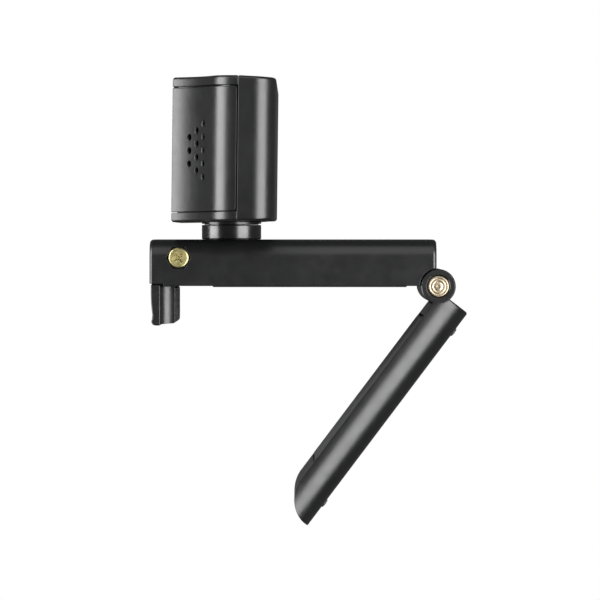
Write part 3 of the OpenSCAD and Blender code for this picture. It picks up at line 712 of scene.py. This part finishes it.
# rear housing
low_levels, high_levels = housing_levels(rear_ring)
rear = loft("rear_housing", low_levels + high_levels)
cavity = loft("cavity", [
    rear_ring(WALL, HEAD_BASE + WALL, True, front=SEAM_Y - 2.75),
    rear_ring(WALL, HEAD_TOP - WALL, False, front=SEAM_Y - 2.75),
])
rear = boolean(rear, [cavity])
posts = []
for x, z in four_screws():
    post = rod("post", 3, HEAD_REAR - SEAM_Y - 0.9, 0.2, 40)
    posts.append(place(post, at(x, SEAM_Y + 0.4, z) @ FACE_Y))
rear = boolean(rear, posts, "UNION")
cutters = collar_cutters()
for x, z in four_screws():
    cutters.append(place(rod("shank", 1.2, 14, steps=32), at(x, SEAM_Y - 1, z) @ FACE_Y))
    well = revolve("well", [
        (0, 0), (2.15, 0), (2.15, 1.95), (2.6, 2.4), (2.6, 3), (0, 3)
    ], 48, closed=False)
    cutters.append(place(well, at(x, HEAD_REAR - 2.2, z) @ FACE_Y))
cutters.append(place(rod("inlet", 3.6, 8, steps=64), at(0, -12, INLET_Z) @ FACE_Y))
rear = boolean(rear, cutters)
finish_piece(place(rear, LEAN_MATRIX), "head", "housing_black", ["rear_shell"])


def crossed(name, head_r, head_h, shank_r, shank_l, steps=48):
    """A pan-head screw, its head's underside at the origin, shank along +Z, with a crossed recess."""
    body = revolve(name, rounded([
        (0, -head_h), (head_r * 0.7, -head_h), (head_r, -head_h * 0.62), (head_r, 0), (shank_r, 0),
        (shank_r, shank_l - 0.3), (shank_r - 0.3, shank_l), (0, shank_l)
    ], 0.12), steps, closed=False)
    slots = []
    for turn in (0, 90):
        w, reach = head_r * 0.13, head_r * 0.62
        slot = box("slot", (-reach, -w, -head_h - 0.5), (reach, w, -head_h * 0.5))
        slots.append(place(slot, Matrix.Rotation(math.radians(turn), 4, "Z")))
    return boolean(body, slots)


parts = [
    place(crossed("screw", 1.9, 1.2, 0.9, 10.5), at(x, HEAD_REAR - 2.18, z) @ FACE_FRONT)
    for x, z in four_screws()
]
finish_piece(place(join("case_screw_set", parts), LEAN_MATRIX), "head", "screw_black", ["case_screws"])

grommet = revolve("grommet", rounded([
    (2.1, -HEAD_REAR + 0.15), (3.5, -HEAD_REAR + 0.15), (3.5, -HEAD_REAR + WALL + 0.1),
    (4.4, -HEAD_REAR + WALL + 0.1), (4.4, -HEAD_REAR + WALL + 1.3), (2.1, -HEAD_REAR + WALL + 1.3)
], 0.3, 4))
finish_piece(place(grommet, LEAN_MATRIX @ at(0, 0, INLET_Z) @ FACE_FRONT), "head", "rubber_black",
             ["cable_grommet"])


# ------------------------------------------------------------------ lens

ON_LENS = LEAN_MATRIX @ at(0, HEAD_FRONT, LENS_Z) @ FACE_Y     # +Z runs back into the head

rim = WINDOW_R
bezel = revolve("bezel", rounded([
    (rim + 2.9, 0.05), (rim + 2.9, PANEL_T), (rim - 0.6, PANEL_T + 0.1), (rim - 0.6, PANEL_T - 0.1),
    (rim + 0.1, PANEL_T - 0.1), (rim + 0.1, 0.35), (rim + 0.5, 0.05)
], 0.12), 160)
finish_piece(place(bezel, ON_LENS), "head", "bezel_gloss", ["lens_bezel"])

window = revolve("window", [
    (0, 0.3), (rim - 0.25, 0.3), (rim, 0.45), (rim, PANEL_T - 0.25), (rim - 0.1, PANEL_T - 0.15),
    (0, PANEL_T - 0.15)
], 160, closed=False)
finish_piece(place(window, ON_LENS), "head", "window_glass", ["lens_window"])

barrel_body = [(7.2, 6), (5.95, 6.6), (5.95, 12.6), (3.2, 12.6), (3.2, 8), (4.6, 6.4)]
barrel_front = [(4.6, 3.9)]             # fine ridges, each nearer the front than the one inside it
for k in range(5):
    r = 4.75 + k * 0.48
    z = 3.88 - k * 0.09
    barrel_front += [(r, z), (r + 0.3, z), (r + 0.36, z - 0.09)]
barrel = revolve("barrel", [(7.2, 3.42)] + rounded(barrel_body, 0.1, 2) + barrel_front, 128)
finish_piece(place(barrel, ON_LENS), "head", "lens_black", ["lens_barrel"])

GLASS_R, DOME_R = 4.5, 8
dome = []
for k in range(13):
    r = GLASS_R * k / 12
    dome.append((r, 4 + DOME_R - math.sqrt(DOME_R ** 2 - r ** 2)))
glass = revolve("glass", dome + [(GLASS_R, 6.1), (GLASS_R - 0.1, 6.2), (0, 6.2)], 96, closed=False)
finish_piece(place(glass, ON_LENS), "head", "lens_glass", ["lens_glass"])

iris = revolve("iris", rounded([(1.5, 6.35), (3.1, 6.3), (3.1, 6.6), (1.4, 6.6)], 0.04), 96)
finish_piece(place(iris, ON_LENS), "head", "bezel_gloss")


# ------------------------------------------------------------------ swivel

neck = revolve("neck", rounded([
    (3.05, ARM_TOP - 1.5), (4.6, ARM_TOP - 1.5), (4.6, ARM_TOP + 0.02), (NECK_R - 0.2, ARM_TOP + 0.02),
    (NECK_R, ARM_TOP + 0.2), (NECK_R, NECK_HI.z - 0.14), (NECK_R - 0.14, NECK_HI.z), (3.05, NECK_HI.z)
], 0.12, 4), 160)
finish_piece(place(neck, at(0, NECK_Y, 0)), "arm", "neck_gloss", ["swivel_neck"])

COLLAR_Z0, COLLAR_Z1, COLLAR_R = NECK_HI.z + 0.25, 15.35, 10.2
collar = revolve("collar", rounded([
    (1.25, ARM_TOP - 1.85), (3, ARM_TOP - 1.85), (3, NECK_HI.z + 0.05), (NECK_R - 0.6, NECK_HI.z + 0.05),
    (NECK_R - 0.6, COLLAR_Z0), (NECK_R, COLLAR_Z0), (NECK_R, COLLAR_Z0 + 0.37),
    (COLLAR_R, COLLAR_Z1 - 0.06), (COLLAR_R, COLLAR_Z1), (3.9, COLLAR_Z1), (3.9, 18.35), (1.25, 18.35)
], 0.06), 160)
finish_piece(place(collar, at(0, NECK_Y, 0)), "head", "neck_gloss", ["swivel_collar"])


# ------------------------------------------------------------------ arm

ARM_END_R = 0.85
ARM_BASE_R = 0.22


def arm_ring(y, d):
    """The arm's section at y, moved in by d."""
    half, top, r = HALF_W - d, ARM_TOP - d, max(ARM_EDGE_R - d, 0.1)
    b = ARM_BASE_R
    path = (
        [(0, ARM_BASE)] + arc(half - b, ARM_BASE + b, b, -90, 0, 3)
        + arc(half - r, top - r, r, 0, 90, 24)
    )
    return [(x, y, z) for x, z in mirrored(path)]


rings = [arm_ring(ARM_FRONT + s, d) for d, s in fillet(ARM_END_R, 5)]
rings += [arm_ring(ARM_REAR - s, d) for d, s in reversed(fillet(ARM_END_R, 5))]
arm = loft("arm", rings)
KNUCKLE_R = 4.0
KNUCKLE_W = 5.7                         # length of each of the leg's two knuckles
KNUCKLE_X = HALF_W - KNUCKLE_W
WASHER = 0.45
MIDDLE_HALF = KNUCKLE_X - WASHER - 0.05  # half the length of the arm's knuckle
HINGE_GAP_R = KNUCKLE_R + 0.3
HINGE_HOLE_R = 2.53
PIN_HOLE_R = 1.3
POCKET_REAR = -22.8
LIP_Y, LIP_Z = -34, 7.65                # rear and underside of the lip inside the nose
HOLLOW_REAR = 24
ROOF_Z = ARM_TOP - 1.5
BOSS_Z = 2.05                           # lower end of the bosses, above the cover
knuckle = place(rod("knuckle", KNUCKLE_R, 2 * MIDDLE_HALF, 0.25, 96),
                at(-MIDDLE_HALF, HINGE.y, HINGE.z) @ FACE_X)


def boss(bore_r, r, bore_top, steps):
    """A round boss under the roof, with a blind bore from below."""
    top = ROOF_Z + 0.4
    return revolve("boss", [
        (bore_r, BOSS_Z), (r, BOSS_Z), (r, top), (0, top), (0, bore_top), (bore_r, bore_top)
    ], steps, closed=False)


cutters = [
    prism_x("pocket", [
        (ARM_FRONT - 1, -1), (ARM_FRONT - 1, LIP_Z), (LIP_Y, LIP_Z), (LIP_Y, ROOF_Z), (POCKET_REAR, ROOF_Z),
        (POCKET_REAR, -1)
    ], -ARM_INNER, ARM_INNER),
    box("notch", (-BEYOND, ARM_FRONT - 1, -1), (BEYOND, -32.6, 0.85)),
    box("hollow", (-ARM_INNER, POCKET_REAR + 1, -1), (ARM_INNER, HOLLOW_REAR, ROOF_Z)),
    place(rod("neck_hole", 4.65, 6, steps=64), at(0, NECK_Y, ROOF_Z - 1)),
    cross_hole("pin_hole", PIN_HOLE_R, HOOK_PIN.y, HOOK_PIN.z, 48),
]
for side in (-1, 1):
    well_at = at(side * (HALF_W + 0.1), HOOK_PIN.y, HOOK_PIN.z) @ FACE_X @ QUARTER
    cutters.append(place(hexagon("well", 5, 3), well_at @ at(0, 0, -1.5)))
    gap_l = 30
    start = MIDDLE_HALF if side > 0 else -MIDDLE_HALF - gap_l
    cutters.append(place(rod("gap", HINGE_GAP_R, gap_l, steps=128), at(start, HINGE.y, HINGE.z) @ FACE_X))
arm = boolean(arm, cutters)
COVER_SCREWS = [(sx * 10.5, y) for sx in (-1, 1) for y in (-8.5, 20)]
bosses = [knuckle]
bosses += [place(boss(0.95, 2.6, 7.5, 32), at(x, y, 0)) for x, y in COVER_SCREWS]
bosses.append(boss(4.65, 6.6, 8.1, 64))
arm = boolean(arm, bosses, "UNION")
arm = boolean(arm, [cross_hole("hinge_hole", HINGE_HOLE_R, HINGE.y, HINGE.z, 64)])
finish_piece(arm, "arm", "housing_black", ["arm_shell"])

cover_lo, cover_hi = corners("arm_cover")
cover = box("cover", cover_lo, cover_hi, 0.2)
cutters = [rod("insert", 4.75, 9, steps=64)]
for x, y in COVER_SCREWS:
    cutters.append(place(rod("screw", 1.05, 9, steps=24), at(x, y, 0)))
    cutters.append(place(rod("head", 2, 1.4, steps=32), at(x, y, 0)))
finish_piece(boolean(cover, cutters), "arm", "cover_black", ["arm_cover"])


def ribbed_pad(name, lo, hi, face, across, run, pitch=2.4, groove=0.9, deep=0.22, edge=0.18):
    """A rubber pad with shallow grooves on its outer face, spaced along the axis across and
    running along the axis run, both numbered from X."""
    pad = box(name, lo, hi, edge)
    cutters = []
    count = int((hi[across] - lo[across] - 2) / pitch)
    first = (lo[across] + hi[across]) / 2 - pitch * (count - 1) / 2
    for k in range(count):
        c = first + pitch * k
        a, b = list(lo), list(hi)
        a[run], b[run] = lo[run] + 1, hi[run] - 1
        a[across], b[across] = c - groove / 2, c + groove / 2
        if face == "-z":
            a[2], b[2] = lo[2] - 1, lo[2] + deep
        elif face == "-y":
            a[1], b[1] = lo[1] - 1, lo[1] + deep
        else:
            a[1], b[1] = hi[1] - deep, hi[1] + 1
        cutters.append(box("groove", a, b))
    return boolean(pad, cutters)


pad = ribbed_pad("arm_grip", *corners("arm_pad"), "-z", 1, 0)
pad = boolean(pad, [place(rod("insert", 5, 4, steps=64), at(0, 0, -1))])
finish_piece(pad, "arm", "rubber_black", ["arm_pad"])

# brass insert with a real 1/4 in-20 thread
THREAD_D, THREAD_PITCH, THREAD_L = 6.35, 1.27, 6.5
THREAD_STEP = 0.1
INSERT_R, INSERT_GROOVE_R, INSERT_H = 4.6, 4.2, 8
ROUND = 64                              # points round the insert
root = THREAD_D / 2
crest = root - 0.62 * THREAD_PITCH
levels = int(THREAD_L / THREAD_STEP)
rings = []
for k in range(levels, -1, -1):
    z = THREAD_L * k / levels
    flare = max(0.0, 0.7 - z) + max(0.0, z - THREAD_L + 0.5)
    ring = []
    for i in range(ROUND):
        a = 2 * math.pi * i / ROUND
        phase = (z / THREAD_PITCH - i / ROUND) % 1.0
        wave = min(1.0, max(0.0, (abs(phase - 0.5) * 2 - 0.12) / 0.76))
        r = min(root, root - (root - crest) * wave + flare)
        ring.append((r * math.cos(a), r * math.sin(a), z))
    rings.append(ring)
outside = [(INSERT_R, 0)]
for z in (3.2, 5.4):
    outside += [(INSERT_R, z), (INSERT_GROOVE_R, z), (INSERT_GROOVE_R, z + 0.7), (INSERT_R, z + 0.7)]
outside += [(INSERT_R, INSERT_H - 0.2), (INSERT_R - 0.2, INSERT_H)]
rings += [[(x, y, z) for x, y in arc(0, 0, r, 0, 360, ROUND)[:-1]] for r, z in outside]
verts = [(0, 0, THREAD_L)] + [p for ring in rings for p in ring] + [(0, 0, INSERT_H)]
faces = []
tail = 1 + (len(rings) - 1) * ROUND
for i in range(ROUND):
    j = (i + 1) % ROUND
    faces.append((0, 1 + i, 1 + j))
    for k in range(len(rings) - 1):
        a, b = 1 + k * ROUND, 1 + (k + 1) * ROUND
        faces.append((a + i, a + j, b + j, b + i))
    faces.append((tail + i, tail + j, len(verts) - 1))
insert = new_object("thread_insert", verts, faces)
finish_piece(insert, "arm", "insert_brass", ["tripod_insert"], angle=40)


# ------------------------------------------------------------------ hook

HOOK_LO = corners("hook_body")[0]
PLATE_FRONT = HOOK_LO.y
PLATE_BACK = PLATE_FRONT + 2.2
PLATE_TOP = 0.5
BOW_R = 40                              # of the plate's bowed front
HOOK_FOOT = HOOK_LO.z + 0.3
SWEEP_R = 3.35                          # of the grip's hollow ends
GRIP_REAR = HOOK_PIN.y - 1.1
BARREL_R = 2.4
pad_lo, pad_hi = corners("hook_pad")
GRIP_FACE = pad_hi.y - 0.03             # the grip's rear face, just short of the pad's


def plate_ring(x, d, top):
    """The plate's side outline, moved in by d: rounded foot, slightly bowed front."""
    foot, heel = 1.0 - d, max(0.3 - d, 0.05)
    front = []
    for k in range(9):
        z = HOOK_FOOT + 1 + (top - d - HOOK_FOOT - 1) * k / 8
        bow = BOW_R - math.sqrt(BOW_R ** 2 - (z + 1) ** 2)
        front.append((PLATE_FRONT + d + bow, z))
    outline = (
        arc(PLATE_FRONT + 1.12, HOOK_FOOT + 1, foot, 270, 180, 6)
        + front[1:]
        + arc(PLATE_BACK - 0.3, top - 0.3, heel, 90, 0, 3)
        + arc(PLATE_BACK - 0.3, HOOK_FOOT + 0.3, heel, 0, -90, 3)
    )
    return [(x, y, z) for y, z in outline]


rings = [plate_ring(s - HALF_W, d, PLATE_TOP) for d, s in fillet(0.3, 3)]
rings += [plate_ring(HALF_W - s, d, PLATE_TOP) for d, s in reversed(fillet(0.3, 3))]
hook = loft("hook", rings)
inner = ARM_INNER - 0.3
tongue_front = loft("tongue_front", [plate_ring(x, 0, LIP_Z - 0.3) for x in (-inner, inner)])
grip_half = HALF_W - 0.02
plan = [(-grip_half, PLATE_BACK - 1), (grip_half, PLATE_BACK - 1)]
sweep = arc(HALF_W + 0.2, PLATE_BACK + 2.9, SWEEP_R, 265, 180, 14)
sweep = [(min(x, grip_half), y) for x, y in sweep]
right = sweep + [(sweep[-1][0], GRIP_FACE - 0.3), (sweep[-1][0] - 0.3, GRIP_FACE)]
plan += right + [(-x, y) for x, y in reversed(right)]
grip = loft("grip", [[(x, y, z) for x, y in plan] for z in (-20, 0.2)])
side = [(PLATE_BACK - 1.2, HOOK_FOOT + 0.25), (PLATE_BACK, HOOK_FOOT + 0.25)]
side += arc(GRIP_FACE - 0.8, HOOK_FOOT + 1.25, 0.8, -80, 0, 6)
side += [(GRIP_FACE, -0.3), (GRIP_REAR, 0.0), (GRIP_REAR - 0.2, 0.2), (PLATE_BACK - 1.2, 0.2)]
grip = boolean(grip, [prism_x("grip_side", side, -BEYOND, BEYOND)], "INTERSECT")
tongue = [(PLATE_BACK - 1, -1), (GRIP_REAR, -1), (GRIP_REAR, 4.6), (HOOK_PIN.y + BARREL_R, HOOK_PIN.z)]
tongue += arc(HOOK_PIN.y, HOOK_PIN.z, BARREL_R, 15, 120, 10)
tongue += [(HOOK_PIN.y - 1.6, 8), (PLATE_BACK - 0.3, 8), (PLATE_BACK - 0.3, 4), (PLATE_BACK - 1, 4)]
hook = boolean(hook, [tongue_front, grip, prism_x("tongue", tongue, -inner, inner)], "UNION")
hook = boolean(hook, [cross_hole("pin_hole", PIN_HOLE_R, HOOK_PIN.y, HOOK_PIN.z, 48)])
clear = Vector((0.02, 0.02, 0.02))
recess_hi = pad_hi + clear
recess_hi.y = -20
hook = boolean(hook, [box("pad_recess", pad_lo - clear, recess_hi)])
finish_piece(hook, "hook", "housing_black", ["hook_body"])

pad = ribbed_pad("hook_grip_pad", pad_lo, pad_hi, "+y", 2, 0, 1.6, 0.6, 0.18, 0.14)
finish_piece(pad, "hook", "rubber_black", ["hook_pad"])

pin_lo, pin_hi = corners("hook_pin")
pin_l = pin_hi.x - pin_lo.x
head_r, head_t, shank_r = (pin_hi.z - pin_lo.z) / 2, 1.25, 1.25
pin = revolve("pin", rounded([
    (0, 0), (shank_r - 0.2, 0), (shank_r, 0.2), (shank_r, pin_l - head_t), (head_r, pin_l - head_t),
    (head_r, pin_l - 0.22), (head_r - 0.3, pin_l - 0.02), (0, pin_l)
], 0.07), 96, closed=False)
slots = []                              # a worn cross in the head, wider at the face
for turn in (35, 125):
    slot = loft("slot", [[(-w, -h, z), (w, -h, z), (w, h, z), (-w, h, z)]
                         for w, h, z in ((0.9, 0.14, pin_l - 0.55), (1.36, 0.27, pin_l + 0.05))])
    slots.append(place(slot, Matrix.Rotation(math.radians(turn), 4, "Z")))
pin = boolean(pin, slots)
finish_piece(place(pin, at(pin_lo.x, HOOK_PIN.y, HOOK_PIN.z) @ FACE_X), "arm", "pin_brass", ["hook_pin"])

nut_lo, nut_hi = corners("hook_nut")
nut = bevel(hexagon("nut", 4.85, nut_hi.x - nut_lo.x), 0.12)
nut = boolean(nut, [place(rod("hole", 1.27, 6, steps=48), at(0, 0, -1))])
nut_at = at(nut_lo.x, HOOK_PIN.y, HOOK_PIN.z) @ FACE_X @ QUARTER
finish_piece(place(nut, nut_at), "arm", "pin_brass", ["hook_nut"])


# ------------------------------------------------------------------ leg, drawn hanging from its hinge

LEG_IN, LEG_OUT, LEG_L = 1.4, 9.4, 62.4
LEG_EDGE_R = 7.8                        # of the outer edges, along the leg
NOSE_R = 7.9                            # of the tip, in side view
LEG_START = -0.8
LEG_WALL = 2
SHOULDER = LEG_OUT - LEG_EDGE_R
COVER_Z = (-49.5, -7.5)
COVER_Y = (2, 3.3)
LEG_SCREWS = [(sx * 8.5, z) for sx in (-1, 1) for z in (-12, -44)]


def leg_ring(z, inner, d=0.0, edge=0.3):
    """The leg's section with its inner face at the given depth: straight sides, rounded outside."""
    r = LEG_EDGE_R - d
    cx = HALF_W - LEG_EDGE_R
    low = inner + d
    if low < SHOULDER:
        start, x0 = 0.0, HALF_W - d
    else:
        start = math.degrees(math.asin(min(0.9999, (low - SHOULDER) / r)))
        x0 = cx + r * math.cos(math.radians(start))
    e = min(edge, max(0.0, (SHOULDER - low) * 0.5))
    path = [(x0 - e, low), (x0 - e * 0.3, low + e * 0.3), (x0, low + e)] + arc(cx, SHOULDER, r, start, 90, 26)
    ring = [(x, y, z) for x, y in path]
    return ring + [(-x, y, z) for x, y, _ in reversed(ring)]


rings = [leg_ring(LEG_START - s, LEG_IN, d) for d, s in fillet(0.5, 4)]
nose_z = NOSE_R - LEG_L
for k in range(31):
    a = math.radians(90 * (k / 30) ** 0.9)
    z = nose_z - NOSE_R * math.sin(a)
    inner_y = LEG_OUT - NOSE_R * math.cos(a)
    if LEG_OUT - inner_y > 0.12:
        rings.append(leg_ring(z, inner_y + (LEG_IN - (LEG_OUT - NOSE_R)) * max(0, 1 - k / 8)))
rings.append(leg_ring(-LEG_L, LEG_OUT - 0.1))
leg = loft("leg", rings)
hollow_half = HALF_W - LEG_WALL
hollow = [(-hollow_half, -1), (hollow_half, -1)]
hollow += mirrored(arc(HALF_W - LEG_EDGE_R, SHOULDER, LEG_EDGE_R - LEG_WALL, 0, 90, 12))
cutters = [
    loft("hollow", [[(x, y, z) for x, y in hollow] for z in (COVER_Z[0] - 0.2, COVER_Z[1] + 0.2)]),
    place(rod("gap", HINGE_GAP_R, 2 * KNUCKLE_X, steps=128), at(-KNUCKLE_X) @ FACE_X),
    cross_hole("bore", 3.2, 0, 0, 90),
]
for x, z in LEG_SCREWS:
    cutters.append(place(rod("screw", 0.95, 7.6, steps=24), at(x, 0, z) @ FACE_Y))
leg = boolean(leg, cutters)
bosses = []
for side in (-1, 1):
    start = KNUCKLE_X if side > 0 else -HALF_W
    wide = KNUCKLE_W - 0.04
    ring = [
        (2.58, 0.22), (2.8, 0), (KNUCKLE_R - 0.22, 0), (KNUCKLE_R, 0.22),
        (KNUCKLE_R, wide - 0.22), (KNUCKLE_R - 0.22, wide), (2.8, wide), (2.58, wide - 0.22)
    ]
    bosses.append(place(revolve("knuckle", ring, 96), at(start + 0.02) @ FACE_X))
    bosses.append(box("web", (start + 0.4, 1.41, -5.7), (start + KNUCKLE_W - 0.4, 3.8, -2.75), 0.12))
leg = boolean(leg, bosses, "UNION")
finish_piece(place(leg, LEG_MATRIX), "leg", "housing_black", ["leg_shell"])

half = HALF_W - 2.45
cover = box("leg_cover", (-half, COVER_Y[0], COVER_Z[0]), (half, COVER_Y[1], COVER_Z[1]), 0.2)
boss_y = COVER_Y[1] - 0.1
boss_l = LEG_OUT - LEG_WALL - 0.1 - boss_y
bosses = [place(rod("boss", 2.4, boss_l, 0.15, 40), at(x, boss_y, z) @ FACE_Y) for x, z in LEG_SCREWS]
cover = boolean(cover, bosses, "UNION")
cutters = []
for x, z in LEG_SCREWS:
    cutters.append(place(rod("screw", 1.05, 9, steps=24), at(x, 0, z) @ FACE_Y))
    cutters.append(place(rod("head", 2, 2.7, steps=32), at(x, 0, z) @ FACE_Y))
finish_piece(place(boolean(cover, cutters), LEG_MATRIX), "leg", "cover_black", ["leg_cover"])

half = HALF_W - 2.8
pad = ribbed_pad("leg_grip", (-half, COVER_Y[0] - 0.75, COVER_Z[0] + 0.4),
                 (half, COVER_Y[0] - 0.05, COVER_Z[1] - 0.4), "-y", 0, 2)
finish_piece(place(pad, LEG_MATRIX), "leg", "rubber_black", ["leg_pad"])

FOOT_R, FOOT_EDGE, FOOT_DOME = 1.05, 0.2, 0.23
dome = [(FOOT_R * math.cos(math.radians(a)), FOOT_EDGE + FOOT_DOME * math.sin(math.radians(a)))
        for a in (20, 40, 60, 78)]
foot_profile = [(0, 0), (FOOT_R, 0), (FOOT_R, FOOT_EDGE)] + dome + [(0, FOOT_EDGE + FOOT_DOME)]
parts = []
for z in (-6.3, -56.1):
    for side in (-1, 1):
        foot = revolve("foot", foot_profile, 48, closed=False)
        parts.append(place(foot, at(side * 8, LEG_OUT + 0.02, z) @ FACE_Y))
finish_piece(place(join("foot_set", parts), LEG_MATRIX), "leg", "rubber_feet", ["leg_feet"])

pin_lo, pin_hi = corners("hinge_pin")
pin_l = pin_hi.x - pin_lo.x
pin_r = (pin_hi.z - pin_lo.z) / 2
face = [                                # (radius, depth): centre mark, two turned grooves, edge
    (0.001, 0.32), (0.3, 0.3), (0.42, 0.06),
    (0.95, 0.03), (1.02, 0.09), (1.14, 0.09), (1.2, 0.03),
    (1.66, 0.02), (1.73, 0.08), (1.82, 0.08), (1.9, 0.02),
    (pin_r - 0.26, 0), (pin_r - 0.05, 0.14), (pin_r, 0.3)
]
profile = [(0, 0.34)] + face + [(r, pin_l - h) for r, h in reversed(face)] + [(0, pin_l - 0.34)]
pin = revolve("hinge_pin_turned", profile, 128, closed=False)
finish_piece(place(pin, at(pin_lo.x, HINGE.y, HINGE.z) @ FACE_X), "arm", "pin_nickel", ["hinge_pin"],
             angle=50)

washer_t = WASHER - 0.1
parts = []
for side in (-1, 1):
    washer = revolve("washer", rounded([(2.52, 0), (3.8, 0), (3.8, washer_t), (2.52, washer_t)], 0.08), 96)
    start = side * (KNUCKLE_X - WASHER / 2) - washer_t / 2
    parts.append(place(washer, at(start, HINGE.y, HINGE.z) @ FACE_X))
finish_piece(join("washer_pair", parts), "arm", "screw_steel", ["hinge_washers"])


# ------------------------------------------------------------------ floor, light, camera

def area_light(name, azimuth, elevation, distance, width, height, power):
    """A soft box, sizes in metres, at an azimuth from +X towards +Y, facing the object's middle."""
    data = bpy.data.lights.new(name, "AREA")
    data.shape = "RECTANGLE"
    data.size, data.size_y = width, height
    data.energy = power
    lamp = add_object(name, data)
    az, el = math.radians(azimuth), math.radians(elevation)
    offset = Vector((math.cos(el) * math.cos(az), math.cos(el) * math.sin(az), math.sin(el))) * distance
    lamp.location = CENTRE + offset
    lamp.rotation_euler = (-offset).to_track_quat("-Z", "Y").to_euler()
    lamp.visible_camera = False
    return lamp


CENTRE = Vector((0, -0.002, 0.0))
area_light("left_box", -73, 2, 0.9, 0.6, 1.2, 33)
area_light("right_box", 46, -8, 0.9, 0.72, 1.3, 40)
area_light("top_box", 5, 47, 1.0, 0.9, 0.9, 4.5)

world = bpy.data.worlds.new("studio")
bpy.context.scene.world = world
world.use_nodes = True
tree = world.node_tree
tree.nodes.clear()
path = tree.nodes.new("ShaderNodeLightPath")
dim, white = tree.nodes.new("ShaderNodeBackground"), tree.nodes.new("ShaderNodeBackground")
dim.inputs["Color"].default_value = (0.13, 0.13, 0.13, 1)
white.inputs["Color"].default_value = (1, 1, 1, 1)
mix = tree.nodes.new("ShaderNodeMixShader")
seen = math_node(tree, "MAXIMUM", path.outputs["Is Camera Ray"], path.outputs["Is Diffuse Ray"])
tree.links.new(seen, mix.inputs["Fac"])
tree.links.new(dim.outputs[0], mix.inputs[1])
tree.links.new(white.outputs[0], mix.inputs[2])
tree.links.new(mix.outputs[0], tree.nodes.new("ShaderNodeOutputWorld").inputs["Surface"])

FLOOR_Z, FLOOR_R = -0.35, 3.0           # metres, well under and around the object
floor_mesh = bpy.data.meshes.new("floor")
bm = bmesh.new()
bmesh.ops.create_circle(bm, cap_ends=True, segments=96, radius=FLOOR_R)
bm.to_mesh(floor_mesh)
bm.free()
floor = add_object("floor", floor_mesh)
floor.location.z = FLOOR_Z
floor_mesh.materials.append(surface("pale_floor", (0.86, 0.86, 0.86), 0.95, grain=4, depth=0.0, blotch=900,
                                    shade=0.004, edge=0))
floor.visible_glossy = False
floor.visible_diffuse = False

scene = bpy.context.scene
scene.view_settings.view_transform = "Standard"
scene.view_settings.look = "None"

camera_data = bpy.data.cameras.new("camera")
camera = add_object("camera", camera_data)
SIDE_X = HALF_W * MM
DISTANCE = 0.941                        # metres, from the object's middle
FRAME_WIDTH = 0.138                     # metres seen at the clip's near side
SENSOR = 36
VIEW_Y, EYE_Z, AIM_Z = -0.00115, 0.012, -0.0032
eye = Vector((DISTANCE, VIEW_Y, EYE_Z))
aim = Vector((0, VIEW_Y, AIM_Z))
camera.location = eye
camera.rotation_euler = (aim - eye).to_track_quat("-Z", "Y").to_euler()
camera_data.sensor_width = SENSOR
camera_data.lens = SENSOR * (DISTANCE - SIDE_X) / FRAME_WIDTH
camera_data.clip_start = 0.01
scene.camera = camera
